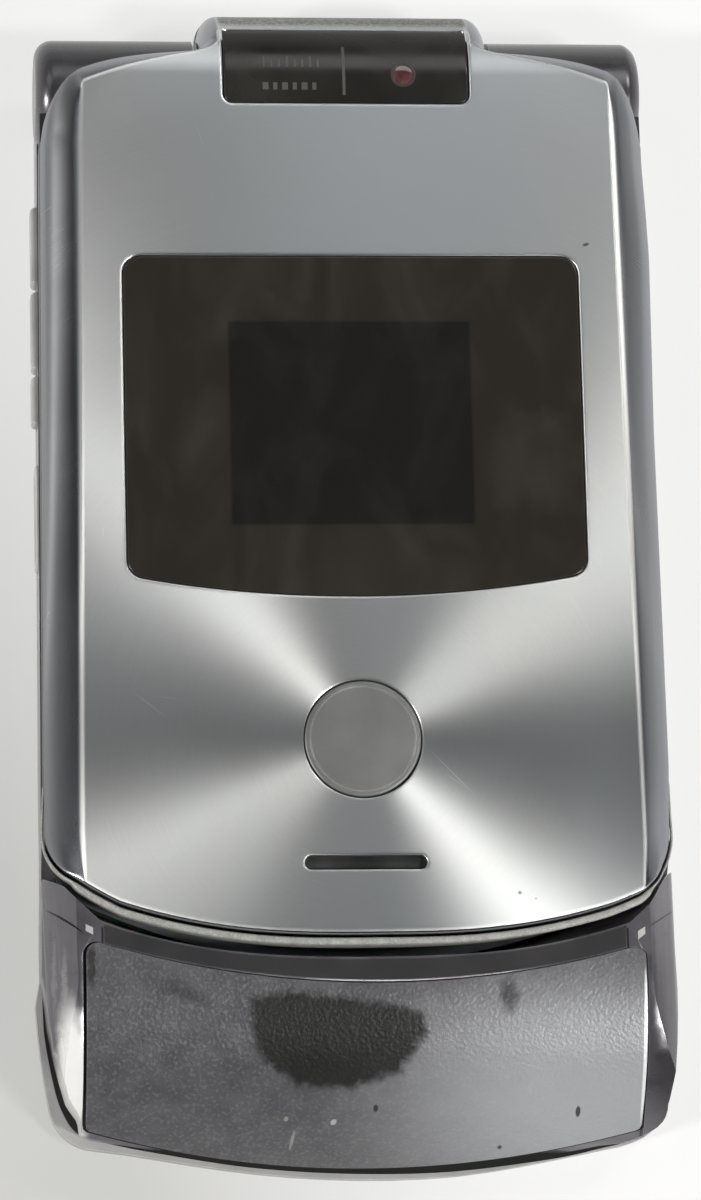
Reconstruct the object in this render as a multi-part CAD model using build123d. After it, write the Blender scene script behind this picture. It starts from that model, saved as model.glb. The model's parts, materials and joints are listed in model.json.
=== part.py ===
from build123d import *
import math
import os

# Flip phone, closed and lying on its back. Millimetres.
# +Z is up, +Y points at the hinge, +X is the right side seen from above.
# The origin is the middle of the bounding box's bottom.

# ---- overall form ----
half_length = 49.0            # from the middle to the barrel, and to the chin's end
body_half_width = 26.1        # base at the middle of its length
base_taper = 0.4              # narrower by this at the hinge end
chin_bulge = 0.5              # wider by this at the chin
chin_wide_length = 15.5       # from the chin's end to its widest place
chin_corner_inset = 1.2       # where the sides meet the end arc, before rounding
chin_end_crown = 3.0          # how far the end arc bulges
chin_corner_radius = 4.5
side_start_length = 27.0      # the sides are straight from here to the hinge
side_blend_radius = 40.0      # where the straight sides meet the chin's bulge

# ---- base heights and gaps ----
base_top_z = 7.0
split_z = 2.4                 # rear housing below, base frame above
bottom_chamfer = 0.8
seam_gap = 0.06               # between fixed neighbours
wall = 1.3
move_gap = 0.3                # between a moving piece and its neighbours

# ---- hinge ----
barrel_radius = 6.9
barrel_half_length = 12.3
barrel_edge_radius = 2.2
ear_radius = 4.8
ear_edge_radius = 1.5
ear_proud = 0.2               # ears stand out of the sides by this
base_back_gap = 1.6           # from the base's back face to the hinge axis
shaft_radius = 1.6
shaft_fit = 0.05              # running clearance, on the radius
shaft_reach = 6.0             # into each ear
shaft_root = 4.0              # into the barrel
cartridge_radius = 3.0
cartridge_length = 9.5
cartridge_wall = 1.0          # ear wall in front of the cartridge

# ---- lid ----
lid_gap = 0.35                # closed lid above the keypad
lid_inset = 0.1               # lid's side inside the base's side
lid_taper = 0.4
chin_length = 18.1            # from the chin's end to the lid's end
lid_end_radius = 52.0
lid_corner_radius = 4.0
lid_shoulder_rise = 2.6       # upper edge past the axis, beside the barrel
lid_shoulder_side_rise = 0.1  # upper edge past the axis, at the side
lid_shoulder_crown = 0.45
lid_shoulder_radius = 3.4
bevel_width = 3.1             # bevelled sides of the outer cover
bevel_drop = 1.7
rim_round = 0.4               # lid's sides rounded at their upper and lower edges
edge_bevel = 0.65
cover_plate = 0.9
cover_depth = 2.5             # the outer cover's sides reach down by this
barrel_wrap = 0.25            # the cover wraps the barrel to this share of its radius
inner_plate = 0.9
lid_wall = 1.2

# ---- outer display window ----
window_margin = 3.85          # from the flat panel's side
window_top_gap = 15.6         # from the hinge axis
window_end_gap = 28.55        # from the lid's end
window_crown = 1.8            # how far the lower edge bulges
window_corner_radius = 1.5
window_thickness = 0.85
window_sink = 0.05
outer_lcd_side_margin = 6.55
outer_lcd_top_margin = 3.45
outer_lcd_low_margin = 3.9

# ---- emblem, speaker and camera ----
emblem_end_gap = 16.7         # from the lid's end
emblem_radius = 4.8
emblem_depth = 0.5
emblem_chamfer = 0.12
slot_end_gap = 6.7
slot_length = 10.0
slot_width = 1.15
speaker_radius = 4.9
speaker_height = 3.4
mesh_thickness = 0.25
mesh_margin = 1.0
camera_side_margin = 2.0      # from the barrel's end
camera_low_reach = 2.4        # from the axis, towards the lid's end
camera_high_reach = 4.5       # from the axis, over the barrel
camera_corner_radius = 0.8
camera_plate = 0.7
camera_x = 4.8
camera_module_radius = 2.9
camera_module_height = 3.6
camera_lens_radius = 1.3

# ---- inner display and earpiece ----
inner_view_side_margin = 8.0
inner_view_top_gap = 12.1     # from the hinge axis
inner_view_end_gap = 16.9     # from the lid's end
inner_view_radius = 1.2
inner_lcd_margin = 1.0
inner_lcd_thickness = 1.9
board_thickness = 0.55
earpiece_end_gap = 5.7
earpiece_length = 9.0
earpiece_width = 1.3

# ---- chin ----
lip_gap = 1.0                 # lid end to the chin
lip_width = 1.4               # lip between that gap and the plate
seam_radius = 78.0
chin_top_z = 12.7
chin_crown = 3.1              # sagitta of the chin's long section
chin_end_z = 2.6
chin_plate_side_margin = 3.6
chin_plate_radius = 1.2
chin_plate_thickness = 1.2
chin_roof_side = 4.4          # width of the chin's rounded shoulders
chin_roof_rise = 0.6          # the shoulders' arc starts above the chin's top
chin_roof_drop = 5.6
chin_roof_fullness = 0.68     # how far the shoulders bulge, 0.5 is a straight bevel

# ---- battery and its cover ----
cover_side_margin = 3.5
cover_end_gap = 3.9           # from the lid's end
cover_back_margin = 8.0
cover_corner_radius = 3.0
cover_thickness = 0.8
battery_side_margin = 5.6     # inside the cover
battery_end_margin = 3.0
battery_back_margin = 8.5
battery_thickness = 3.2
contact_width = 1.6
contact_length = 2.4
contact_pitch = 3.0
latch_width = 9.0
latch_length = 4.0
latch_back_margin = 4.5
latch_travel = 1.0
latch_sink = 0.1

# ---- pieces in the chin ----
antenna_side_margin = 4.0     # inside the chin plate
antenna_end_margin = 5.0
motor_radius = 1.5
motor_length = 9.0
motor_inset = 3.0             # from the antenna carrier's end
microphone_radius = 1.6
microphone_height = 1.7
microphone_gap = 0.8          # beside the antenna carrier
microphone_seam_gap = 3.7

# ---- boards and keypad stack ----
chassis_gap = 0.1             # above the battery, and under the board
chassis_thickness = 0.5
board_side_margin = 3.5
dome_radius = 2.0
rocker_dome_radius = 1.6
dome_height = 0.13
key_travel = 0.25
press_clear = 0.02            # left under a pressed key
key_flange_height = 0.25
plate_thickness = 0.6
key_proud = 0.08              # keys above the keypad plate
key_web = 0.55
key_gap = 0.22
key_corner_radius = 0.8
keypad_side_margin = 1.1
keypad_back_margin = 1.0
keypad_lip_margin = 1.0
number_rows = 4
number_end_gap = 3.9          # last row to the lip's crown
nav_back_gap = 12.2           # from the keypad's upper edge to the ring's middle
nav_front_gap = 14.8          # from the ring's middle to the number keys
nav_radius = 8.6
select_radius = 3.4
gimbal_inner_radius = 3.7
gimbal_outer_radius = 4.8
gimbal_height = 0.25
gimbal_gap = 0.16             # room for the ring above it to tilt
gimbal_pin_length = 0.5
function_inner_x = 6.4
clear_half_width = 6.6

# ---- side keys and sockets ----
side_key_height = 2.6
side_key_rise = 1.8           # middle of the side keys above the split
side_key_proud = 0.5
side_key_edge_radius = 0.35
side_key_flange = 0.5
side_key_flange_margin = 0.3
side_key_play = 0.2
side_key_travel = 0.3
volume_key_length = 6.6
volume_key_pitch = 7.4
volume_key_back_gap = 4.0     # first key's middle to the room's end
smart_key_length = 4.0
smart_key_pitch = 6.0
voice_key_length = 10.0
voice_key_back_gap = 6.6
switch_size = 1.6
usb_key_gap = 10.0            # smart key to socket, middle to middle
usb_width = 7.7
usb_height = 3.1
usb_depth = 7.0
usb_shell = 0.35
usb_sink = 0.2
usb_tongue_sink = 1.2
usb_tongue_thickness = 0.7
sim_width = 4.0
sim_length = 20.0
sim_y = 2.0

# ---- screws and bumpers ----
lid_screw_radius = 0.7
lid_screw_side_margin = 3.8
lid_screw_end_gap = 13.9
lid_screw_axis_gap = 10.1
lid_screw_sink = 0.25
base_screw_radius = 0.9
base_screw_head = 1.5
base_screw_head_height = 0.7
base_screw_socket = 0.6
base_screw_side_gap = 2.6     # from the battery's side
base_screw_end_gap = 6.0      # from the battery cover's ends
base_screw_back_gap = 4.5
bumper_radius = 0.9
bumper_side = 5.5             # from the lid's side
bumper_end = 9.0              # from the lid's end

# ---- places that follow from those sizes ----
hinge_half_width = body_half_width - base_taper
chin_half_width = body_half_width + chin_bulge
chin_wide_y = chin_wide_length - half_length
chin_corner_half_width = body_half_width - chin_corner_inset
chin_corner_y = chin_end_crown - half_length
side_start_y = side_start_length - half_length
axis_y = half_length - barrel_radius
axis_z = base_top_z
base_back_y = axis_y - base_back_gap
lid_bottom_z = base_top_z + lid_gap
lid_top_z = axis_z + barrel_radius
cover_split_z = lid_top_z - cover_depth
barrel_seam_z = axis_z + barrel_radius * barrel_wrap
lid_half_width = body_half_width - lid_inset
lid_hinge_half_width = lid_half_width - lid_taper
lid_end_y = chin_length - half_length
lid_shoulder_y = axis_y + lid_shoulder_rise
lid_shoulder_side_y = axis_y + lid_shoulder_side_rise
panel_half_width = lid_half_width - bevel_width
window_half_width = panel_half_width - window_margin
window_top_y = axis_y - window_top_gap
window_crown_y = lid_end_y + window_end_gap
window_side_bottom_y = window_crown_y + window_crown
emblem_y = lid_end_y + emblem_end_gap
slot_y = lid_end_y + slot_end_gap
camera_half_width = barrel_half_length - camera_side_margin
camera_low_y = axis_y - camera_low_reach
camera_high_y = axis_y + camera_high_reach
inner_view_half_width = lid_half_width - inner_view_side_margin
inner_view_top_y = axis_y - inner_view_top_gap
inner_view_low_y = lid_end_y + inner_view_end_gap
earpiece_y = lid_end_y + earpiece_end_gap
lip_radius = lid_end_radius + lip_gap
lip_y = lid_end_y - lip_gap
seam_y = lip_y - lip_width
chin_plate_half_width = chin_half_width - chin_plate_side_margin
chin_roof_half_width = chin_half_width - chin_roof_side
cover_half_width = body_half_width - cover_side_margin
cover_low_y = lid_end_y + cover_end_gap
cover_high_y = base_back_y - cover_back_margin
battery_half_width = cover_half_width - battery_side_margin
battery_low_y = cover_low_y + battery_end_margin
battery_high_y = cover_high_y - battery_back_margin
latch_y = cover_high_y - latch_back_margin
antenna_half_width = chin_plate_half_width - antenna_side_margin
antenna_end_y = antenna_end_margin - half_length
microphone_x = antenna_half_width + microphone_radius + microphone_gap
microphone_y = seam_y - microphone_seam_gap
chassis_z = cover_thickness + move_gap + battery_thickness + chassis_gap
board_z = chassis_z + chassis_thickness + chassis_gap
board_half_width = body_half_width - board_side_margin
dome_top_z = board_z + board_thickness + dome_height
key_flange_z = dome_top_z + key_travel + press_clear
plate_top_z = base_top_z - key_proud
cavity_back_y = axis_y - barrel_radius - move_gap - wall
number_pitch_x = (body_half_width - wall - keypad_side_margin) * 2 / 3
function_half_width = number_pitch_x * 1.5 - key_web / 2 - key_gap
function_top_y = cavity_back_y - keypad_back_margin
nav_y = function_top_y - nav_back_gap
nav_clear = nav_radius + key_gap
number_top_y = nav_y - nav_front_gap
number_pitch_y = (number_top_y - lip_y - number_end_gap) / number_rows
function_low_y = number_top_y + key_web / 2 + key_gap
gimbal_z = key_flange_z + key_travel - gimbal_gap - gimbal_height / 2
side_key_z = split_z + side_key_rise
volume_up_y = cavity_back_y - volume_key_back_gap
volume_down_y = volume_up_y - volume_key_pitch
smart_key_y = volume_down_y - smart_key_pitch
voice_key_y = cavity_back_y - voice_key_back_gap
usb_y = smart_key_y - usb_key_gap
usb_z = split_z + 2 * seam_gap
lid_screw_x = lid_half_width - lid_screw_side_margin
lid_screw_low_y = lid_end_y + lid_screw_end_gap
lid_screw_high_y = axis_y - lid_screw_axis_gap
base_screw_x = battery_half_width + base_screw_side_gap
base_screw_low_y = cover_low_y + base_screw_end_gap
base_screw_high_y = cover_high_y - base_screw_back_gap
inner_lcd_z = lid_bottom_z + inner_plate + seam_gap
lid_board_z = inner_lcd_z + inner_lcd_thickness + seam_gap
outer_lcd_z = lid_board_z + board_thickness + seam_gap
window_low_z = lid_top_z - window_sink - window_thickness
inner_radius = barrel_radius - cover_plate

far = 200.0                   # larger than the object


# ---- construction helpers ----
def block(low_x, high_x, low_y, high_y, low_z, high_z):
    size = (high_x - low_x, high_y - low_y, high_z - low_z)
    middle = ((low_x + high_x) / 2, (low_y + high_y) / 2, (low_z + high_z) / 2)
    return Pos(*middle) * Box(*size)


def prism(face, low_z, high_z):
    return Pos(0, 0, low_z) * extrude(face, high_z - low_z, dir=(0, 0, 1))


def rounded_plan(low_x, high_x, low_y, high_y, radius):
    middle = Pos((low_x + high_x) / 2, (low_y + high_y) / 2)
    return middle * RectangleRounded(high_x - low_x, high_y - low_y, radius)


def rod(radius, low_x, high_x, y, z):
    place = Plane(origin=(low_x, y, z), z_dir=(1, 0, 0))
    return extrude(place * Circle(radius), high_x - low_x)


def disc(radius, x, y, low_z, high_z):
    return prism(Pos(x, y) * Circle(radius), low_z, high_z)


def along_x(face_yz, half_width):
    """Carry a section drawn in (y, z) across the width."""
    place = Plane(origin=(-half_width, 0, 0), x_dir=(0, 1, 0), z_dir=(1, 0, 0))
    return extrude(place * face_yz, 2 * half_width)


def along_y(face_xz, low_y, high_y):
    """Carry a section drawn in (x, z) along the length."""
    place = Plane(origin=(0, high_y, 0), x_dir=(1, 0, 0), z_dir=(0, -1, 0))
    return extrude(place * face_xz, high_y - low_y)


def corners_near(face, x, y):
    """The two mirrored corners of an outline at (x, y) and (-x, y)."""
    return [v for v in face.vertices() if abs(abs(v.X) - x) < 0.01 and abs(v.Y - y) < 0.01]


def symmetric(solid):
    return [solid, mirror(solid, about=Plane.YZ)]


def fixed_body(parts):
    return Compound(children=[solid for part in parts for solid in part.solids()])


# ---- plan outlines ----
def base_plan(inset=0.0):
    """Outline of the base: straight sides, a bulged chin and an arched end."""
    corner = (chin_corner_half_width - inset, chin_corner_y + inset)
    widest = (chin_half_width - inset, chin_wide_y)
    start = (body_half_width - inset, side_start_y)
    back = (hinge_half_width - inset, base_back_y)
    end_y = -half_length + inset
    end = ThreePointArc((-corner[0], corner[1]), (0, end_y), corner)
    right = ThreePointArc(corner, widest, start)
    upper = Polyline(start, back, (-back[0], back[1]), (-start[0], start[1]))
    left = ThreePointArc((-start[0], start[1]), (-widest[0], widest[1]), (-corner[0], corner[1]))
    face = make_face([end, right, upper, left])
    face = fillet(corners_near(face, *start), side_blend_radius)
    return fillet(corners_near(face, *corner), chin_corner_radius - inset)


def lid_plan(inset=0.0):
    """Outline of the lid without its barrel."""
    centre_y = lid_end_y + lid_end_radius
    corner_y = centre_y - math.sqrt(lid_end_radius**2 - lid_half_width**2)
    end = ThreePointArc((-lid_half_width, corner_y), (0, lid_end_y), (lid_half_width, corner_y))
    inner_x = barrel_half_length - lid_wall
    mid_x = (inner_x + lid_hinge_half_width) / 2
    mid_y = (lid_shoulder_y + lid_shoulder_side_y) / 2 + lid_shoulder_crown
    right = Line((lid_half_width, corner_y), (lid_hinge_half_width, lid_shoulder_side_y))
    right_top = ThreePointArc((lid_hinge_half_width, lid_shoulder_side_y), (mid_x, mid_y),
                              (inner_x, lid_shoulder_y))
    middle = Line((inner_x, lid_shoulder_y), (-inner_x, lid_shoulder_y))
    left_top = ThreePointArc((-inner_x, lid_shoulder_y), (-mid_x, mid_y),
                             (-lid_hinge_half_width, lid_shoulder_side_y))
    left = Line((-lid_hinge_half_width, lid_shoulder_side_y), (-lid_half_width, corner_y))
    face = make_face([end, right, right_top, middle, left_top, left])
    face = fillet(corners_near(face, lid_half_width, corner_y), lid_corner_radius)
    face = fillet(corners_near(face, lid_hinge_half_width, lid_shoulder_side_y), lid_shoulder_radius)
    return offset(face, -inset) if inset else face


def window_plan(grow=0.0):
    """Outline of the outer display window, with an arched lower edge."""
    lower = ThreePointArc((-window_half_width, window_side_bottom_y), (0, window_crown_y),
                          (window_half_width, window_side_bottom_y))
    upper = Polyline((window_half_width, window_side_bottom_y), (window_half_width, window_top_y),
                     (-window_half_width, window_top_y), (-window_half_width, window_side_bottom_y))
    face = make_face([lower, upper])
    face = fillet(face.vertices(), window_corner_radius)
    return offset(face, grow) if grow else face


def behind_arc(radius, crown_y):
    """Everything on the chin's side of an arc that bulges towards the chin."""
    return Pos(0, -far / 2) * Rectangle(far, far) - Pos(0, crown_y + radius) * Circle(radius)


def before_arc(radius, crown_y):
    """Everything on the hinge's side of that arc."""
    return Rectangle(far, far) - behind_arc(radius, crown_y)


def camera_plan(grow=0.0):
    face = rounded_plan(-camera_half_width, camera_half_width, camera_low_y, camera_high_y,
                        camera_corner_radius)
    return offset(face, grow) if grow else face


# ---- lid form ----
def lid_section(radius, low_z):
    """Long section of the lid in (y, z): a slab that rolls down round the hinge."""
    high_z = axis_z + radius
    slab = Pos((axis_y - far / 2) / 2, (low_z + high_z) / 2)
    slab = slab * Rectangle(axis_y + far / 2, high_z - low_z)
    return slab + Pos(axis_y, axis_z) * Circle(radius)


def lid_roof():
    """Cross section of the lid in (x, z): flat panel, bevelled sides, rounded lower edge."""
    bevel_z = lid_top_z - bevel_drop
    side_x = lid_half_width + lid_inset / 2
    half = [(0, lid_top_z), (panel_half_width, lid_top_z), (side_x - rim_round, bevel_z),
            (side_x, bevel_z - 3 * rim_round), (side_x, lid_bottom_z + 2 * rim_round),
            (side_x - rim_round, lid_bottom_z), (0, lid_bottom_z)]
    left = [(-x, z) for x, z in reversed(half[1:-1])]
    return make_face(Polyline(*half, *left, close=True))


def ear_space():
    """Room round both ears for the lid to turn."""
    reach = hinge_half_width + 2.0
    space = rod(ear_radius + move_gap, barrel_half_length, reach, axis_y, axis_z)
    return space + mirror(space, about=Plane.YZ)


def make_lid_form():
    body = prism(lid_plan(), lid_bottom_z, lid_top_z - edge_bevel)
    top = Pos(0, 0, lid_top_z - edge_bevel) * extrude(lid_plan(), edge_bevel, taper=42)
    form = (body + top) & along_y(lid_roof(), -half_length, half_length)
    return form & along_x(lid_section(barrel_radius, lid_bottom_z), far / 2)


def make_barrel_form():
    barrel = rod(barrel_radius, -barrel_half_length, barrel_half_length, axis_y, axis_z)
    rims = [e for e in barrel.edges().filter_by(GeomType.CIRCLE)]
    return fillet(rims, barrel_edge_radius)


lid_form = make_lid_form() - ear_space()
barrel_form = make_barrel_form()


def make_outer_cover():
    """Metal skin: panel, bevelled sides and the wrap over the barrel."""
    barrel_upper = barrel_form & block(-far, far, -far, far, barrel_seam_z, far)
    cover = (lid_form & block(-far, far, -far, far, cover_split_z, far)) + barrel_upper
    hollow = prism(lid_plan(lid_wall), 0, far) & along_y(lid_hollow_section(), -far, axis_y + half_length)
    hollow = hollow & along_x(lid_section(inner_radius, 0), far / 2)
    core = rod(inner_radius, -barrel_half_length + lid_wall, barrel_half_length - lid_wall,
               axis_y, axis_z)
    cover = cover - hollow - core
    cover = cover - prism(window_plan(seam_gap), 0, far)
    cover = cover - prism(camera_plan(seam_gap), axis_z, far)
    cover = cover - disc(emblem_radius + seam_gap, 0, emblem_y, lid_top_z - emblem_depth, far)
    slot = Pos(0, slot_y) * SlotOverall(slot_length, slot_width)
    return cover - prism(slot, axis_z, far)


def lid_hollow_section():
    """Cross section of the space under the outer cover."""
    top_z = lid_top_z - cover_plate
    side_x = lid_half_width - lid_wall
    half = [(0, top_z), (panel_half_width - cover_plate / 2, top_z), (side_x, top_z - bevel_drop),
            (side_x, 0), (0, 0)]
    left = [(-x, z) for x, z in reversed(half[1:-1])]
    return make_face(Polyline(*half, *left, close=True))


def make_lid_frame():
    """Rim and cross walls between the two covers."""
    low_z = lid_bottom_z + inner_plate + seam_gap
    high_z = cover_split_z - seam_gap
    ring = lid_form & block(-far, far, -far, axis_y + half_length, low_z, high_z)
    ring = ring - prism(lid_plan(lid_wall), 0, far)
    bridge_low = axis_y - barrel_radius - 2 * lid_wall
    bridge = lid_form & block(-far, far, bridge_low, bridge_low + lid_wall, low_z, high_z)
    frame = ring + bridge
    return frame - rod(barrel_radius + seam_gap, -barrel_half_length - seam_gap,
                       barrel_half_length + seam_gap, axis_y, axis_z)


def make_inner_cover():
    """Plate that faces the keypad, with the display opening and the earpiece slot."""
    plate = lid_form & block(-far, far, -far, far, lid_bottom_z, lid_bottom_z + inner_plate)
    plate = plate - rod(barrel_radius + seam_gap, -barrel_half_length - seam_gap,
                        barrel_half_length + seam_gap, axis_y, axis_z)
    view = inner_view_plan(seam_gap)
    slot = Pos(0, earpiece_y) * SlotOverall(earpiece_length, earpiece_width)
    return plate - prism(view, 0, far) - prism(slot, 0, far)


def inner_view_plan(grow=0.0):
    half = inner_view_half_width + grow
    return rounded_plan(-half, half, inner_view_low_y - grow, inner_view_top_y + grow, inner_view_radius)


def make_barrel():
    """Plastic core of the hinge barrel, below and inside the wrapped cover."""
    lower = barrel_form & block(-far, far, -far, far, -far, barrel_seam_z - seam_gap)
    core = rod(inner_radius - seam_gap, -barrel_half_length + lid_wall + seam_gap,
               barrel_half_length - lid_wall - seam_gap, axis_y, axis_z)
    barrel = lower + core
    keep = prism(camera_plan(seam_gap), axis_z, far)
    keep = keep - rod(barrel_radius - camera_plate - seam_gap, -far, far, axis_y, axis_z)
    barrel = barrel - keep
    pocket = disc(camera_module_radius + seam_gap, camera_x, axis_y,
                  camera_module_z() - seam_gap, far)
    barrel = barrel - pocket
    for side in (-1, 1):
        root = rod(shaft_radius + seam_gap, barrel_half_length - shaft_root - seam_gap,
                   barrel_half_length + 1, axis_y, axis_z)
        barrel = barrel - (root if side > 0 else mirror(root, about=Plane.YZ))
    return barrel


def camera_module_z():
    """Underside of the camera module, which touches the plate above it."""
    top_z = axis_z + barrel_radius - camera_plate - seam_gap
    return top_z - camera_module_height


def make_camera_window():
    skin = barrel_form + (lid_form & block(-camera_half_width, camera_half_width,
                                           camera_low_y - 1, axis_y, axis_z, far))
    plate = skin & prism(camera_plan(), axis_z + barrel_radius / 2, far)
    inner = along_x(lid_section(barrel_radius - camera_plate, 0), far / 2)
    return plate - inner


def make_camera_module():
    top_z = camera_module_z() + camera_module_height
    reach = math.sqrt((barrel_radius - camera_plate - seam_gap)**2 - camera_module_radius**2)
    shoulder_z = axis_z + reach
    base = disc(camera_module_radius, camera_x, axis_y, camera_module_z(), shoulder_z)
    lens_z = axis_z + math.sqrt((barrel_radius - camera_plate - seam_gap)**2 - camera_lens_radius**2)
    return base + disc(camera_lens_radius, camera_x, axis_y, shoulder_z - seam_gap, min(lens_z, top_z))


def make_hinge_shafts():
    """Two stub shafts, pressed in the barrel and running in the ears."""
    shaft = rod(shaft_radius, barrel_half_length - shaft_root,
                barrel_half_length + move_gap + shaft_reach, axis_y, axis_z)
    return fixed_body(symmetric(shaft))


def make_speaker():
    top_z = lid_top_z - cover_plate - mesh_thickness - 2 * seam_gap
    return disc(speaker_radius, 0, slot_y, top_z - speaker_height, top_z)


def make_speaker_mesh():
    top_z = lid_top_z - cover_plate - seam_gap
    plan = Pos(0, slot_y) * SlotOverall(slot_length + 2 * mesh_margin, slot_width + 2 * mesh_margin)
    return prism(plan, top_z - mesh_thickness, top_z)


def make_outer_window():
    return prism(window_plan(), window_low_z, window_low_z + window_thickness)


def make_emblem():
    base = disc(emblem_radius, 0, emblem_y, lid_top_z - emblem_depth + seam_gap, lid_top_z)
    rims = base.edges().filter_by(GeomType.CIRCLE).sort_by(Axis.Z)
    return chamfer(rims[-1], emblem_chamfer)


def make_inner_display():
    half = inner_view_half_width + inner_lcd_margin
    return block(-half, half, inner_view_low_y - inner_lcd_margin, inner_view_top_y + inner_lcd_margin,
                 inner_lcd_z, inner_lcd_z + inner_lcd_thickness)


def make_lid_board():
    """Board between the two displays, wide enough to reach the rim's wall."""
    low_y = slot_y + speaker_radius + move_gap
    high_y = axis_y - barrel_radius - 2 * lid_wall - move_gap
    band = Pos(0, (low_y + high_y) / 2) * Rectangle(far, high_y - low_y)
    plan = lid_plan(lid_wall + move_gap) & band
    return prism(plan, lid_board_z, lid_board_z + board_thickness)


def make_outer_display():
    half = window_half_width - outer_lcd_side_margin
    return block(-half, half, window_crown_y + outer_lcd_low_margin, window_top_y - outer_lcd_top_margin,
                 outer_lcd_z, window_low_z - seam_gap)


def make_lid_bumpers():
    """Two soft studs that the closed lid rests on."""
    stud = disc(bumper_radius, lid_half_width - bumper_side, lid_end_y + bumper_end,
                base_top_z + seam_gap, lid_bottom_z)
    return fixed_body(symmetric(stud))


def make_lid_screws():
    """Screws that hold the inner cover to the rim, heads flush under small plugs."""
    shank_top = cover_split_z - 2 * seam_gap
    solids = []
    for y in (lid_screw_low_y, lid_screw_high_y):
        screw = disc(lid_screw_radius, lid_screw_x, y, lid_bottom_z + lid_screw_sink, shank_top)
        solids += symmetric(screw)
    return fixed_body(solids)


def screw_holes():
    """Holes for the lid screws, through the board and the inner cover."""
    solids = []
    for y in (lid_screw_low_y, lid_screw_high_y):
        hole = disc(lid_screw_radius + seam_gap, lid_screw_x, y, 0, cover_split_z)
        solids += symmetric(hole)
    return fixed_body(solids)


# ---- base form ----
def chin_section(inset=0.0):
    """Long section of the chin in (y, z): flat underneath, arched above."""
    start = (half_length, chin_top_z)
    bend = (lip_y + lip_gap / 2, chin_top_z)
    end = (seam_gap - half_length, chin_end_z)
    chord = math.dist(bend, end)
    middle = ((bend[0] + end[0]) / 2, (bend[1] + end[1]) / 2)
    normal = (-(bend[1] - end[1]) / chord, (bend[0] - end[0]) / chord)
    crown = (middle[0] + normal[0] * chin_crown, middle[1] + normal[1] * chin_crown)
    top = Line(start, bend)
    arch = ThreePointArc(bend, crown, end)
    rest = Polyline(end, (-half_length - 1, chin_end_z), (-half_length - 1, 0), (start[0], 0), start)
    face = make_face([top, arch, rest])
    return offset(face, -inset) if inset else face


def chin_roof(inset=0.0):
    """Cross section of the chin in (x, z), with rounded shoulders."""
    side_x = chin_half_width + seam_gap - inset
    top_x = chin_roof_half_width - inset
    top_z = chin_top_z + chin_roof_rise - inset
    low_z = chin_top_z - chin_roof_drop
    lean = chin_roof_fullness
    bend = (top_x + (side_x - top_x) * lean, low_z + (top_z - low_z) * lean)
    right = ThreePointArc((top_x, top_z), bend, (side_x, low_z))
    left = ThreePointArc((-side_x, low_z), (-bend[0], bend[1]), (-top_x, top_z))
    lower = Polyline((side_x, low_z), (side_x, 0), (-side_x, 0), (-side_x, low_z))
    return make_face([right, lower, left, Line((-top_x, top_z), (top_x, top_z))])


def make_base_form():
    """Everything outside of the base: tray, chin and ears."""
    form = prism(base_plan(), 0, chin_top_z + 1)
    form = chamfer(form.faces().sort_by(Axis.Z)[0].edges(), bottom_chamfer)
    form = form & along_x(chin_section(), far / 2)
    form = form & along_y(chin_roof(), -half_length - 1, half_length)
    form = form - prism(before_arc(lip_radius, lip_y), base_top_z, far)
    ear = rod(ear_radius, barrel_half_length + move_gap, hinge_half_width + ear_proud, axis_y, axis_z)
    outer_rim = ear.edges().filter_by(GeomType.CIRCLE).sort_by(Axis.X)[-1]
    ear = fillet(outer_rim, ear_edge_radius)
    form = form + ear + mirror(ear, about=Plane.YZ)
    return form - rod(barrel_radius + move_gap, -barrel_half_length - move_gap,
                      barrel_half_length + move_gap, axis_y, axis_z)


base_form = make_base_form()


def chin_plate_plan(grow=0.0):
    side = chin_plate_half_width
    face = Pos(0, -half_length) * Rectangle(2 * side, half_length)
    face = face & behind_arc(seam_radius, seam_y)
    upper = [v for v in face.vertices() if v.Y > -half_length + 1]
    face = fillet(upper, chin_plate_radius)
    return offset(face, grow) if grow else face


def chin_skin(depth, grow, low_z):
    """The outer layer of the chin inside the plate's outline."""
    layer = prism(chin_plate_plan(grow), low_z, far) & base_form
    return layer - along_x(chin_section(depth), far / 2)


def make_chin_cover():
    return chin_skin(chin_plate_thickness, 0.0, split_z + seam_gap)


def cavity_plan(low_y, high_y, inset):
    return base_plan(inset) & Pos(0, (low_y + high_y) / 2) * Rectangle(far, high_y - low_y)


def tray_plan(inset):
    """The room under the keypad, in front of the chin's lip."""
    room = cavity_plan(-half_length, cavity_back_y, wall + inset)
    return room & before_arc(lip_radius - inset, lip_y + inset)


def make_base_frame():
    """Side walls, ears, chin sides and the lip in front of the keypad."""
    frame = base_form - block(-far, far, -far, base_back_y, -1, split_z + seam_gap)
    cavity = cavity_plan(-half_length, cavity_back_y, wall)
    frame = frame - prism(cavity, 0, chassis_z)
    frame = frame - prism(tray_plan(0.0), 0, far)
    chin_room = prism(cavity & behind_arc(lip_radius + wall, lip_y - wall), 0, far)
    chin_room = chin_room & along_x(chin_section(chin_plate_thickness + 2 * seam_gap), far / 2)
    chin_room = chin_room & along_y(chin_roof(wall), -half_length, half_length)
    frame = frame - chin_room
    frame = frame - chin_skin(chin_plate_thickness + seam_gap, seam_gap, split_z)
    frame = frame - side_openings()
    return frame - hinge_bores()


def hinge_bores():
    """Running bores for the stub shafts, and the blind pocket of the spring cartridge."""
    inner_x = barrel_half_length + move_gap
    bore = rod(shaft_radius + shaft_fit, 0, inner_x + shaft_reach + move_gap, axis_y, axis_z)
    low_x = inner_x + cartridge_wall
    pocket = rod(cartridge_radius + seam_gap, low_x, low_x + cartridge_length + seam_gap, axis_y, axis_z)
    return bore + mirror(bore, about=Plane.YZ) + pocket


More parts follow.
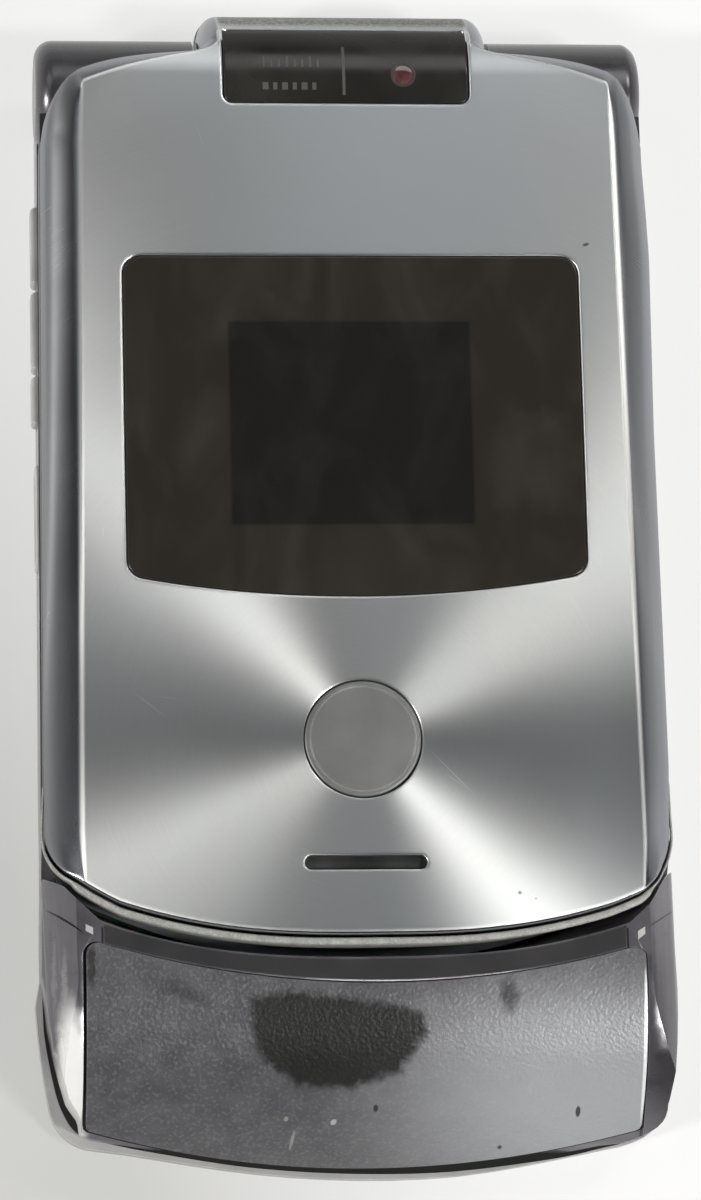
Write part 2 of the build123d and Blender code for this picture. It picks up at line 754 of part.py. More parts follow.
def make_hinge_cartridge():
    """Cam and spring unit in the right ear, round the stub shaft."""
    low_x = barrel_half_length + move_gap + cartridge_wall + seam_gap
    unit = rod(cartridge_radius, low_x, low_x + cartridge_length - seam_gap, axis_y, axis_z)
    return unit - rod(shaft_radius + shaft_fit, 0, barrel_half_length + 2 * move_gap + shaft_reach,
                      axis_y, axis_z)


# ---- side keys ----
side_keys = [
    ("volume_up_key", -1, volume_up_y, volume_key_length),
    ("volume_down_key", -1, volume_down_y, volume_key_length),
    ("smart_key", -1, smart_key_y, smart_key_length),
    ("voice_key", 1, voice_key_y, voice_key_length),
]


def wall_x(y):
    """Half width of the base at a place on its straight side."""
    share = (y - side_start_y) / (base_back_y - side_start_y)
    return body_half_width + (hinge_half_width - body_half_width) * share


def make_side_key(side, y, length):
    """Key cap with a flange inside the wall."""
    outer_x = wall_x(y) + side_key_proud
    inner_x = wall_x(y) - wall - side_key_flange - side_key_play
    cap = block(inner_x, outer_x, y - length / 2, y + length / 2,
                side_key_z - side_key_height / 2, side_key_z + side_key_height / 2)
    outer = cap.faces().sort_by(Axis.X)[-1]
    cap = fillet(outer.edges(), side_key_edge_radius)
    half_flange = length / 2 + side_key_flange_margin
    flange = block(inner_x, inner_x + side_key_flange, y - half_flange, y + half_flange,
                   side_key_z - side_key_height / 2, side_key_z + side_key_height / 2)
    key = cap + flange
    return key if side > 0 else mirror(key, about=Plane.YZ)


def side_openings():
    """Holes in the side walls for the keys and the charging socket."""
    solids = []
    for _, side, y, length in side_keys:
        hole = block(wall_x(y) - 2 * wall, wall_x(y) + 1, y - length / 2 - key_gap,
                     y + length / 2 + key_gap, side_key_z - side_key_height / 2 - key_gap,
                     side_key_z + side_key_height / 2 + key_gap)
        solids.append(hole if side > 0 else mirror(hole, about=Plane.YZ))
    solids.append(block(-far, -wall_x(usb_y) + 2 * wall, usb_y - usb_width / 2 - seam_gap,
                        usb_y + usb_width / 2 + seam_gap, usb_z - seam_gap,
                        usb_z + usb_height + seam_gap))
    return fixed_body(solids)


def make_side_switches():
    """Small switches behind the side keys, hung on the chassis plate."""
    solids = []
    for _, side, y, _ in side_keys:
        inner_x = wall_x(y) - wall - side_key_flange - side_key_play - side_key_travel - seam_gap
        body = block(inner_x - switch_size, inner_x, y - switch_size, y + switch_size,
                     chassis_z - seam_gap - switch_size, chassis_z - seam_gap)
        solids.append(body if side > 0 else mirror(body, about=Plane.YZ))
    return fixed_body(solids)


def make_usb_socket():
    """Metal shell of the charging socket, open to the left, with its contact tongue."""
    mouth_x = usb_sink - wall_x(usb_y)
    outer = block(mouth_x, mouth_x + usb_depth, usb_y - usb_width / 2, usb_y + usb_width / 2,
                  usb_z, usb_z + usb_height)
    room = block(mouth_x - 1, mouth_x + usb_depth - usb_shell, usb_y - usb_width / 2 + usb_shell,
                 usb_y + usb_width / 2 - usb_shell, usb_z + usb_shell, usb_z + usb_height - usb_shell)
    middle_z = usb_z + usb_height / 2
    tongue = block(mouth_x + usb_tongue_sink, mouth_x + usb_depth - usb_shell / 2,
                   usb_y - usb_width / 4, usb_y + usb_width / 4,
                   middle_z - usb_tongue_thickness / 2, middle_z + usb_tongue_thickness / 2)
    return outer - room + tongue


def usb_space():
    mouth_x = usb_sink - wall_x(usb_y)
    return block(-far, mouth_x + usb_depth + seam_gap, usb_y - usb_width / 2 - seam_gap,
                 usb_y + usb_width / 2 + seam_gap, usb_z - seam_gap, usb_z + usb_height + seam_gap)


# ---- rear housing, battery and its cover ----
def cover_plan(grow=0.0):
    return rounded_plan(-cover_half_width - grow, cover_half_width + grow, cover_low_y - grow,
                        cover_high_y + grow, cover_corner_radius)


def make_rear_housing():
    housing = base_form & block(-far, far, -far, base_back_y, -1, split_z)
    housing = housing - prism(cover_plan(move_gap), -1, cover_thickness + move_gap)
    battery_room = block(-battery_half_width - move_gap, battery_half_width + move_gap,
                         battery_low_y - move_gap, battery_high_y + move_gap, -1, far)
    housing = housing - battery_room
    chin_room = cavity_plan(-half_length, cover_low_y - cover_corner_radius, 2 * wall)
    housing = housing - prism(chin_room, cover_thickness, far)
    pocket = cavity_plan(battery_high_y + wall, cavity_back_y, wall)
    housing = housing - prism(pocket, 2 * cover_thickness + move_gap, far)
    housing = housing - usb_space()
    return housing - base_screw_space()


def make_battery_cover():
    """Rear cover with a thumb opening for the latch."""
    cover = prism(cover_plan(), 0, cover_thickness)
    window = block(-latch_width / 2 - key_gap, latch_width / 2 + key_gap,
                   latch_y - latch_length / 2 - latch_travel - key_gap,
                   latch_y + latch_length / 2 + key_gap, -1, 1)
    return cover - window


def make_cover_latch():
    low_y = latch_y - latch_length / 2
    return block(-latch_width / 2, latch_width / 2, low_y, low_y + latch_length,
                 latch_sink, cover_thickness)


def make_battery():
    low_z = cover_thickness + move_gap
    return block(-battery_half_width, battery_half_width, battery_low_y, battery_high_y,
                 low_z, low_z + battery_thickness)


def make_chassis():
    """Stiff plate between the battery and the boards."""
    plate = prism(tray_plan(seam_gap), chassis_z, chassis_z + chassis_thickness)
    for _, side, y, length in side_keys:
        half = length / 2 + side_key_flange_margin + 2 * move_gap
        inner_x = wall_x(y) - wall - side_key_flange - side_key_play - 2 * side_key_travel
        room = block(inner_x, far, y - half, y + half, 0, far)
        plate = plate - (room if side > 0 else mirror(room, about=Plane.YZ))
    return plate - usb_space()


def make_main_board():
    plan = tray_plan(seam_gap) & Rectangle(2 * board_half_width, far)
    return prism(plan, board_z, board_z + board_thickness) - usb_space()


def make_battery_contacts():
    """Three spring contacts between the battery and the board."""
    y = battery_high_y + move_gap
    contact = block(-contact_width / 2, contact_width / 2, y, y + contact_length, split_z + seam_gap,
                    chassis_z - seam_gap)
    solids = [Pos(column * contact_pitch, 0, 0) * contact for column in (-1, 0, 1)]
    return fixed_body(solids)


def make_sim_holder():
    """Metal holder for the subscriber card, above the battery."""
    low_x = battery_half_width + 2 * move_gap
    return block(low_x, low_x + sim_width, sim_y - sim_length / 2, sim_y + sim_length / 2,
                 split_z + seam_gap, chassis_z - seam_gap)


def make_antenna():
    """Plastic antenna carrier that fills the middle of the chin."""
    carrier = block(-antenna_half_width, antenna_half_width, antenna_end_y, lip_y - wall - seam_gap,
                    cover_thickness + seam_gap, far)
    return carrier & along_x(chin_section(chin_plate_thickness + 3 * seam_gap), far / 2)


def make_vibration_motor():
    """Motor can lying in front of the antenna carrier."""
    z = cover_thickness + seam_gap + motor_radius
    low_x = motor_inset - antenna_half_width
    return rod(motor_radius, low_x, low_x + motor_length, lip_y + motor_radius / 6, z)


def make_microphone():
    """Microphone can in the chin, beside the antenna carrier."""
    low_z = cover_thickness + seam_gap
    return disc(microphone_radius, microphone_x, microphone_y, low_z, low_z + microphone_height)


# ---- screws ----
def base_screw_space():
    solids = []
    head_top = cover_thickness + move_gap + base_screw_head_height + 2 * seam_gap
    for y in (base_screw_low_y, base_screw_high_y):
        hole = disc(base_screw_head + seam_gap, base_screw_x, y, 0, head_top)
        hole = hole + disc(base_screw_radius + seam_gap, base_screw_x, y, 0, far)
        solids += symmetric(hole)
    return fixed_body(solids)


def make_base_screws():
    """Four screws, heads under the battery cover, shanks up to the chassis plate."""
    solids = []
    low_z = cover_thickness + move_gap + seam_gap
    for y in (base_screw_low_y, base_screw_high_y):
        screw = disc(base_screw_head, base_screw_x, y, low_z, low_z + base_screw_head_height)
        screw = screw + disc(base_screw_radius, base_screw_x, y, low_z, chassis_z - seam_gap)
        socket = extrude(RegularPolygon(base_screw_socket, 6), base_screw_head_height / 2)
        solids += symmetric(screw - Pos(base_screw_x, y, low_z) * socket)
    return fixed_body(solids)


# ---- keypad ----
def number_key_plans():
    """Twelve keys in four rows, the last row shaped by the lip's arc."""
    names = ["one", "two", "three", "four", "five", "six", "seven", "eight", "nine", "star", "zero", "hash"]
    half_x = (number_pitch_x - key_web) / 2 - key_gap
    half_y = (number_pitch_y - key_web) / 2 - key_gap
    area = tray_plan(keypad_lip_margin)
    plans = []
    for index, name in enumerate(names):
        x = number_pitch_x * (index % 3 - 1)
        y = number_top_y - number_pitch_y * (index // 3 + 0.5)
        face = rounded_plan(x - half_x, x + half_x, y - half_y, y + half_y, key_corner_radius)
        plans.append(("key_" + name, face & area))
    return plans


def function_key_plans():
    """Keys round the navigation ring, each cut back from it."""
    round_nav = Pos(0, nav_y) * Circle(nav_clear + key_web + key_gap)
    low, split, high = function_low_y, nav_y, function_top_y
    web = key_web / 2 + key_gap
    places = [
        ("left_soft_key", -function_half_width, -function_inner_x, split + web, high),
        ("right_soft_key", function_inner_x, function_half_width, split + web, high),
        ("send_key", -function_half_width, -clear_half_width - web, low, split - web),
        ("end_key", clear_half_width + web, function_half_width, low, split - web),
        ("clear_key", -clear_half_width + web, clear_half_width - web, low, split - web),
    ]
    plans = []
    for name, low_x, high_x, low_y, high_y in places:
        face = rounded_plan(low_x, high_x, low_y, high_y, key_corner_radius)
        plans.append((name, face - round_nav))
    return plans


def largest(face):
    return face.faces().sort_by(SortBy.AREA)[-1]


flat_keys = [(name, largest(plan)) for name, plan in number_key_plans() + function_key_plans()]


def make_flat_key(plan):
    """Thin metal key with a wider flange that keeps it under the plate."""
    cap = prism(plan, key_flange_z, base_top_z)
    flange = prism(offset(plan, key_gap + key_web / 2 - seam_gap), key_flange_z,
                   key_flange_z + key_flange_height)
    return cap + flange


def make_keypad_plate():
    """Metal plate with an opening for every key."""
    plate = prism(tray_plan(seam_gap), plate_top_z - plate_thickness, plate_top_z)
    for _, plan in flat_keys:
        plate = plate - prism(offset(plan, key_gap), 0, far)
    return plate - disc(nav_clear, 0, nav_y, 0, far)


def make_nav_ring():
    ring = disc(nav_radius, 0, nav_y, key_flange_z + key_travel, base_top_z)
    return ring - disc(select_radius + key_gap, 0, nav_y, 0, far)


def make_nav_gimbal():
    """Tilting carrier under the navigation ring, with a pair of pivot pins on each axis."""
    reach = gimbal_outer_radius + gimbal_pin_length
    ring = disc(gimbal_outer_radius, 0, nav_y, gimbal_z - gimbal_height / 2, gimbal_z + gimbal_height / 2)
    pin = rod(gimbal_height / 2, -reach, reach, nav_y, gimbal_z)
    cross_pin = Pos(0, nav_y, 0) * Rot(0, 0, 90) * Pos(0, -nav_y, 0) * pin
    return ring + pin + cross_pin - disc(gimbal_inner_radius, 0, nav_y, 0, far)


def make_select_key():
    return disc(select_radius, 0, nav_y, key_flange_z, base_top_z)


def make_domes():
    """Snap domes under the keys, on the board."""
    low_z = board_z + board_thickness
    solids = [disc(dome_radius, 0, nav_y, low_z, low_z + dome_height)]
    for _, plan in flat_keys:
        centre = plan.center()
        solids.append(disc(dome_radius, centre.X, centre.Y, low_z, low_z + dome_height))
    for turn in range(4):
        x = (nav_radius - rocker_dome_radius) * math.cos(math.pi / 2 * turn)
        y = nav_y + (nav_radius - rocker_dome_radius) * math.sin(math.pi / 2 * turn)
        solids.append(disc(rocker_dome_radius, x, y, low_z, low_z + dome_height))
    return fixed_body(solids)


# ---- write one file for each piece ----
pieces = {
    "lid_outer_cover": make_outer_cover(),
    "lid_frame": make_lid_frame(),
    "lid_inner_cover": make_inner_cover() - screw_holes(),
    "hinge_barrel": make_barrel(),
    "hinge_shafts": make_hinge_shafts(),
    "hinge_cartridge": make_hinge_cartridge(),
    "camera_window": make_camera_window(),
    "camera_module": make_camera_module(),
    "outer_window": make_outer_window(),
    "outer_display": make_outer_display(),
    "emblem_disc": make_emblem(),
    "speaker_mesh": make_speaker_mesh(),
    "speaker": make_speaker(),
    "lid_board": make_lid_board() - screw_holes(),
    "inner_display": make_inner_display(),
    "inner_window": prism(inner_view_plan(), lid_bottom_z + window_sink, lid_bottom_z + inner_plate),
    "lid_bumpers": make_lid_bumpers(),
    "lid_screws": make_lid_screws(),
    "base_frame": make_base_frame(),
    "rear_housing": make_rear_housing(),
    "chin_cover": make_chin_cover(),
    "chassis_plate": make_chassis(),
    "keypad_plate": make_keypad_plate(),
    "snap_domes": make_domes(),
    "main_board": make_main_board(),
    "battery": make_battery(),
    "battery_contacts": make_battery_contacts(),
    "sim_holder": make_sim_holder(),
    "usb_socket": make_usb_socket(),
    "side_switches": make_side_switches(),
    "antenna": make_antenna(),
    "microphone": make_microphone(),
    "vibration_motor": make_vibration_motor(),
    "base_screws": make_base_screws(),
    "battery_cover": make_battery_cover(),
    "cover_latch": make_cover_latch(),
    "nav_gimbal": make_nav_gimbal(),
    "nav_ring": make_nav_ring(),
    "select_key": make_select_key(),
}
pieces.update({name: make_flat_key(plan) for name, plan in flat_keys})
pieces.update({name: make_side_key(side, y, length) for name, side, y, length in side_keys})

os.makedirs("parts", exist_ok=True)
for name, shape in pieces.items():
    export_step(shape, "parts/" + name + ".step")
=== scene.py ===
import json
import math
import bpy
import bmesh
import numpy as np
from mathutils import Matrix, Vector
from mathutils.geometry import delaunay_2d_cdt

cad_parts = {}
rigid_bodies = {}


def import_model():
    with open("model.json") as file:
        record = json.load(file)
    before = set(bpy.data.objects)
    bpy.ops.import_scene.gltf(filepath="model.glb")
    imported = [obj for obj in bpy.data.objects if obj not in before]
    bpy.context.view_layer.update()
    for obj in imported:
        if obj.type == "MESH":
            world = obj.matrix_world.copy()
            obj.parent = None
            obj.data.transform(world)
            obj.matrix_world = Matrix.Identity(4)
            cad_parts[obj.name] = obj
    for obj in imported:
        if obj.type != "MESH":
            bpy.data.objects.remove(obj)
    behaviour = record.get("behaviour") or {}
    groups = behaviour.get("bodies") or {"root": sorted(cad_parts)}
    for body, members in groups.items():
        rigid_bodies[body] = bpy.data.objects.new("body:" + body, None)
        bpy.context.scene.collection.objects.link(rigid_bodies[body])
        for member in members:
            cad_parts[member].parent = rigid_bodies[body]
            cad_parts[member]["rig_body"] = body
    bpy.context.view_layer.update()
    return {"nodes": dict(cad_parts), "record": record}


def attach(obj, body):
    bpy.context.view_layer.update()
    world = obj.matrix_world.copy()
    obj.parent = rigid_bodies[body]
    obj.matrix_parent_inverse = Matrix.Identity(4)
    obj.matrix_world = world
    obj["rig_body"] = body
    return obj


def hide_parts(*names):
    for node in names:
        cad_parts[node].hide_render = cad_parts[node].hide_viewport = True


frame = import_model()
nodes = frame["nodes"]
print("frame loaded:", len(nodes), "nodes")

mm = 0.001


# shader helpers: a node's inputs are filled by name or number, each from a socket or a plain value
def fill(tree, node, inputs):
    for name, value in inputs.items():
        if isinstance(value, bpy.types.NodeSocket):
            tree.links.new(value, node.inputs[name])
        else:
            node.inputs[name].default_value = value


def addNode(tree, kind, inputs=None, **settings):
    node = tree.nodes.new("ShaderNode" + kind)
    for name, value in settings.items():
        setattr(node, name, value)
    fill(tree, node, inputs or {})
    return node


def newMaterial(name):
    material = bpy.data.materials.new(name)
    material.use_nodes = True
    tree = material.node_tree
    return material, tree, tree.nodes["Principled BSDF"], addNode(tree, "TexCoord").outputs["Object"]


def noiseOf(tree, place, perMm, detail=2.0, stretch=(1, 1, 1), distortion=0.0):
    spread = addNode(tree, "Mapping", {"Vector": place, "Scale": stretch}).outputs[0]
    return addNode(tree, "TexNoise", {
        "Vector": spread, "Scale": perMm / mm, "Detail": detail, "Distortion": distortion}).outputs["Fac"]


# value from one range to another, clamped, with a smooth step when asked
def ranged(tree, value, low, high, toLow=0.0, toHigh=1.0, smooth=False):
    return addNode(tree, "MapRange", {
        "Value": value, "From Min": low, "From Max": high, "To Min": toLow, "To Max": toHigh},
        interpolation_type="SMOOTHSTEP" if smooth else "LINEAR").outputs["Result"]


# a colour is a socket, three parts, or one number for a grey
def mixed(tree, factor, *colours):
    inputs = {"Factor": factor}
    for number, colour in zip((6, 7), colours):
        inputs[number] = colour if isinstance(colour, bpy.types.NodeSocket) else (*toned(colour), 1)
    return addNode(tree, "Mix", inputs, data_type="RGBA").outputs[2]


def toned(colour):
    return colour if isinstance(colour, tuple) else (colour,) * 3


def maths(tree, operation, first, second=0.0):
    return addNode(tree, "Math", {0: first, 1: second}, operation=operation).outputs[0]


def times(tree, first, second):
    return maths(tree, "MULTIPLY", first, second)


def vectorMaths(tree, operation, first, second=(0, 0, 0)):
    node = addNode(tree, "VectorMath", {0: first, 1: second}, operation=operation)
    return node.outputs["Value" if operation in ("LENGTH", "DOT_PRODUCT") else "Vector"]


# how near a point is to an outer edge, from the rounded normal against the plain one
def edgeMask(tree, reach):
    rounded = addNode(tree, "Bevel", {"Radius": reach * mm}, samples=4).outputs["Normal"]
    plain = addNode(tree, "NewGeometry").outputs["Normal"]
    return ranged(tree, vectorMaths(tree, "DOT_PRODUCT", rounded, plain), 0.985, 0.90)


# a place pushed about by noise, so that what is drawn there gets a wavering outline
def warped(tree, place, amount):
    noise = addNode(tree, "TexNoise", {"Vector": place, "Scale": 1.1 / mm, "Detail": 3.0}).outputs["Color"]
    moved = vectorMaths(tree, "ADD", noise, (-.5, -.5, -.5))
    return vectorMaths(tree, "ADD", vectorMaths(tree, "MULTIPLY", moved, (amount * mm,) * 3), place)


# a place seen from above, measured from a centre
def flattened(tree, place, centre=(0, 0)):
    return addNode(tree, "Mapping", {
        "Vector": place, "Location": (-centre[0] * mm, -centre[1] * mm, 0), "Scale": (1, 1, 0)}).outputs[0]


# nothing at the middle of an ellipse and one on its outline
def ellipseReach(tree, place, x, y, halfX, halfY, turn):
    near = addNode(tree, "Mapping", {
        "Vector": place, "Location": (x * mm, y * mm, 0), "Rotation": (0, 0, math.radians(turn)),
        "Scale": (halfX * mm, halfY * mm, 1)}, vector_type="TEXTURE").outputs[0]
    return vectorMaths(tree, "LENGTH", near)


# millimetres to the nearest side of a convex outline that runs anticlockwise, less than nothing outside
def patchDepth(tree, place, outline):
    depth = None
    for (x, y), (nextX, nextY) in zip(outline, outline[1:] + outline[:1]):
        length = math.hypot(nextX - x, nextY - y)
        inward = (-(nextY - y) / length, (nextX - x) / length, 0)
        along = maths(tree, "DIVIDE", vectorMaths(tree, "DOT_PRODUCT", place, inward), mm)
        side = maths(tree, "SUBTRACT", along, x * inward[0] + y * inward[1])
        depth = side if depth is None else maths(tree, "MINIMUM", depth, side)
    return depth


grainDefaults = dict(patches=.25, grain=8, stretch=(1, 1, 1), metal=0.0, roughSpread=.06, relief=.3,
                     depth=.02, coat=0.0, edgeReach=.12, warp=1.0, marks=[])


# grained finish: two tones in soft patches, a fine grain in the relief, lighter worn edges;
# a mark is an ellipse with its share, softness and colour: soft ones waver, and a white one is a painted
# highlight that isn't metal
def grainedFinish(name, look):
    material, tree, shader, place = newMaterial(name)
    look = dict(grainDefaults, **look)
    patches = noiseOf(tree, place, look["patches"], 4.0)
    grain = noiseOf(tree, place, look["grain"], 3.0, look["stretch"])
    colour = mixed(tree, ranged(tree, patches, .35, .68), look["colour"], look["tint"])
    if "flecks" in look:
        colour = mixed(tree, ranged(tree, grain, .52, .66, 0, look["fleckShare"]), colour, look["flecks"])
    moved = warped(tree, place, look["warp"])
    metal = look["metal"]
    flat, flatMoved = flattened(tree, place), flattened(tree, moved)
    for *ellipse, share, soft, markColour in look["marks"]:
        reach = ellipseReach(tree, flatMoved if soft > .3 else flat, *ellipse)
        mark = ranged(tree, reach, 1 - soft, 1 + .4 * soft, share, 0, True)
        colour = mixed(tree, mark, colour, markColour)
        # a white mark is a painted highlight: it takes the metal away so that it shows plain white
        if toned(markColour)[0] > .9:
            metal = times(tree, metal, maths(tree, "SUBTRACT", 1.0, mark))
    if "patch" in look:
        stained = ranged(tree, patchDepth(tree, moved, look["patch"]), -.45, .55, 0, .93, True)
        colour = mixed(tree, stained, colour, look["patchColour"])
    if "edge" in look:
        worn = times(tree, edgeMask(tree, look["edgeReach"]), ranged(tree, patches, .3, .6, .3, 1.0))
        colour = mixed(tree, worn, colour, look["edge"])
    blend = maths(tree, "ADD", times(tree, patches, .6), times(tree, grain, .4))
    spread = look["roughSpread"]
    bump = addNode(tree, "Bump", {
        "Height": grain, "Strength": look["relief"], "Distance": look["depth"] * mm})
    fill(tree, shader, {
        "Base Color": colour, "Metallic": metal, "Normal": bump.outputs["Normal"],
        "Roughness": ranged(tree, blend, .3, .7, look["rough"] - spread, look["rough"] + spread)})
    shader.inputs["Coat Weight"].default_value = look["coat"]
    shader.inputs["Coat Roughness"].default_value = .1
    return material


bodyMarksAndHighlight = [   # x, y, half length, half width, turn, share, softness, colour
    # the white entry at x -23.8 is a painted highlight on the chin's left shoulder
    (0, 50, 60, 14, 0, .68, .5, (.068, .066, .066)), (-23.8, -41.2, 1.35, 6.4, 4, .93, .45, (.91, .91, .90)),
    (25.0, -38, 1.9, 9, 0, .6, .6, (.06, .058, .062)), (-24.5, -34, .22, 3.2, 0, .5, .8, (.45, .44, .46)),
    (-25.3, -33, .2, 3.5, 0, .4, .8, (.4, .39, .41)), (-24.4, -28.6, 1.9, .09, -38, .95, .3, .004),
    (24.6, -28.9, 1.7, .07, 32, .8, .3, .01)]
chinMarksLightAndShade = [
    # painted light: the broad light mark on the right stands for the plate lit from the right, and the white
    # line at x 22.8 is a painted highlight along the plate's right rim
    (18, -42.5, 18, 9.5, 0, .88, .85, (.46, .47, .49)), (22.8, -39.3, .20, 6.2, 0, .95, .25, (.9, .91, .92)),
    (-15.0, -34.6, 2.4, .75, -25, .75, .8, .042), (11.5, -35.2, .9, 1.6, 0, .8, .8, .036),
    (17.5, -44.4, .22, .45, 0, .9, .3, .02), (11.3, -47.0, .2, .16, 0, .9, .3, .02),
    (-6.5, -44.6, .2, .2, 0, .6, .3, (.4, .4, .38)), (.8, -43.9, .22, .3, 0, .9, .3, .02),
    (-2.6, -44.9, .28, .22, 30, .8, .3, (.5, .5, .48)), (-5.9, -46.2, .15, .8, -12, .5, .3, (.4, .4, .38)),
    # painted shade: the last dark mark darkens the plate's upper left corner where the gap beside it widens
    (-22.4, -32.3, .34, 1.9, 0, .9, .5, .03)]
chinPatch = [(-9.7, -35.2), (-9.3, -38.6), (-8.3, -40.4), (-5.5, -42.1), (-1.4, -42.4), (2.7, -41.2),
             (4.9, -38.0), (4.4, -36.3), (1.0, -35.6), (-6.0, -34.6)]
finishes = {
    "lidRim": dict(colour=(.30, .30, .29), tint=(.40, .40, .385), metal=.9, rough=.42, grain=14, relief=.5,
                   edge=(.7, .7, .68)),
    "innerMetal": dict(colour=(.265, .275, .295), tint=(.285, .295, .315), metal=.85, rough=.38,
                       roughSpread=.02, grain=10, stretch=(1, .05, 1), relief=.15, edge=(.6, .6, .62)),
    "darkPlastic": dict(colour=(.045, .040, .038), tint=(.062, .055, .050), rough=.32, grain=12, relief=.35,
                        coat=.2, edge=(.13, .12, .115)),
    "bodyMetal": dict(colour=(.150, .144, .162), tint=(.195, .188, .206), metal=.7, rough=.30, grain=12,
                      relief=.35, coat=.2, edge=(.40, .39, .41), edgeReach=.08, warp=.6, marks=bodyMarksAndHighlight),
    "chinPaint": dict(colour=(.082, .081, .088), tint=(.108, .106, .114), metal=.3, rough=.42, patches=.6,
                      grain=3.3, relief=1.0, depth=.075, flecks=(.22, .215, .225), fleckShare=.35, coat=.15,
                      edge=(.45, .45, .46), edgeReach=.08, warp=1.1, patch=chinPatch,
                      patchColour=(.010, .010, .009), marks=chinMarksLightAndShade),
    # the lip's own dark paint, made near black as painted shade where it lies under the lid's end
    "lipPaint": dict(colour=(.012, .011, .012), tint=(.018, .017, .018), rough=.5, grain=12, relief=.3,
                     edge=(.12, .12, .125)),
    "keyPrint": dict(colour=(.72, .80, .88), tint=(.78, .86, .93), rough=.5, grain=10, relief=.1),
    "callGreen": dict(colour=(.05, .42, .10), tint=(.06, .50, .13), rough=.5, grain=10, relief=.1),
    "callRed": dict(colour=(.55, .035, .03), tint=(.62, .05, .04), rough=.5, grain=10, relief=.1),
    "bezelChrome": dict(colour=(.62, .63, .64), tint=(.70, .71, .72), metal=1.0, rough=.18, grain=8),
    # near black: the seams' own colour, and painted shade in the sheet under the chin plate's gap
    "gapBlack": dict(colour=.002, tint=.004, rough=.8, grain=10, relief=.1),
    "tabLight": dict(colour=(.55, .55, .54), tint=(.65, .65, .63), metal=.4, rough=.35, grain=8),
    # painted shade: the lid frame is drawn near black because its end face lies in shade under the rim
    "lidFrame": dict(colour=(.022, .021, .020), tint=(.032, .031, .029), metal=.1, rough=.45, grain=12,
                     relief=.4),
    "rearPlastic": dict(colour=.40, tint=(.48, .48, .475), metal=.2, rough=.45, grain=16, relief=.5,
                        edge=(.72, .72, .71)),
    "magnesium": dict(colour=(.33, .33, .32), tint=(.41, .41, .40), metal=.9, rough=.5, grain=9),
    "keypadMetal": dict(colour=(.38, .39, .405), tint=(.405, .415, .43), metal=.9, rough=.34,
                        roughSpread=.02, grain=10, stretch=(.04, 1, 1), relief=.15, edge=(.75, .76, .78),
                        edgeReach=.1),
    "sideKey": dict(colour=(.42, .42, .40), tint=(.52, .52, .50), metal=.3, rough=.34, grain=12,
                    edge=(.85, .85, .84)),
    "board": dict(colour=(.010, .075, .040), tint=(.014, .10, .055), rough=.4, grain=4,
                  flecks=(.35, .28, .12), fleckShare=.25, coat=.3),
    "batteryWrap": dict(colour=(.035, .036, .04), tint=(.05, .051, .055), rough=.38, grain=6,
                        edge=(.16, .16, .17)),
    "socketSteel": dict(colour=(.52, .51, .49), tint=(.62, .61, .59), metal=1.0, rough=.24, grain=8,
                        edge=(.85, .84, .82)),
    "pinSteel": dict(colour=.45, tint=.55, metal=1.0, rough=.22, grain=10, edge=.8),
    "contactGold": dict(colour=(.72, .50, .17), tint=(.80, .58, .22), metal=1.0, rough=.26, grain=8),
    "rubber": dict(colour=.020, tint=(.032, .032, .031), rough=.75, grain=14, relief=.6),
    "whitePlastic": dict(colour=(.62, .61, .58), tint=(.70, .69, .66), rough=.45, grain=8),
    "module": dict(colour=(.03, .03, .032), tint=(.05, .05, .052), rough=.35, grain=8, edge=.2),
    "display": dict(colour=(.006, .006, .007), tint=(.010, .010, .011), rough=.16, grain=3, relief=.05,
                    coat=.5),
    "print": dict(colour=(.060, .060, .058), tint=(.075, .075, .072), rough=.5, grain=10, relief=.1),
    "ringGrey": dict(colour=(.030, .026, .024), tint=(.040, .034, .030), rough=.4, grain=10, relief=.1),
    "lensGlass": dict(colour=(.07, .028, .030), tint=(.13, .055, .055), rough=.08, grain=2, patches=1.0,
                      relief=.0, coat=1.0),
    "emblemMetal": dict(colour=(.20, .203, .203), tint=(.235, .238, .235), metal=.85, rough=.52,
                        roughSpread=.03, grain=14, patches=.3, relief=.4, depth=.01, edge=.6),
    "rimBand": dict(colour=(.30, .30, .285), tint=(.40, .40, .38), metal=.35, rough=.5, patches=1.4,
                    grain=6, relief=.8, depth=.04, flecks=(.5, .5, .47), fleckShare=.8, edge=(.7, .7, .68)),
    "mesh": dict(colour=.045, tint=.08, metal=.9, rough=.4, grain=9),
}
made = {name: grainedFinish(name, look) for name, look in finishes.items()}


def paint(obj, material):
    obj.data.materials.clear()
    obj.data.materials.append(material)


# circular brushed metal: the grain runs round one centre, so light fans out from it
brushed = {
    "centre": (0, -14.2), "colour": (.76, .765, .75), "tint": (.67, .685, .69), "rough": .35,
    "roughSpread": .02, "anisotropy": .82, "ringsPerMm": 9.0, "relief": .06, "haze": (.70, .735, .745),
    # the bevel's colour is painted shade
    "bevelColour": (.32, .325, .345), "bevelRough": -.09,       # both rough values are added to the first
    # the crease's colour is a painted highlight
    "creaseColour": (.93, .93, .92), "creaseRough": .22,
    # the wrap over the barrel's top is painted shade, with flecks of grain
    "wrapFrom": 46.3, "wrapTo": 47.6, "wrapColour": (.16, .16, .155), "wrapFlecks": (.30, .30, .285),
    "scratches": [   # x, y, half length, half width, turn, share: less than nothing for a dark one
        (7.26, -17.07, 3.2, .075, -46.2, .8), (7.45, -17.7, 1.4, .06, -35, .5),
        (-17.37, -11.29, 2.1, .07, -38, .7), (-15.9, -10.7, 1.4, .05, -9, .5),
        (-12.4, 36.8, 1.3, .05, -73, .35), (19.8, 27.5, .42, .2, 15, -.9),
        (12.5, -27.0, .22, .2, 0, -.8), (13.8, -27.5, .12, .1, 0, -.6), (-21.0, 3.0, 1.0, .05, 80, .3)],
}


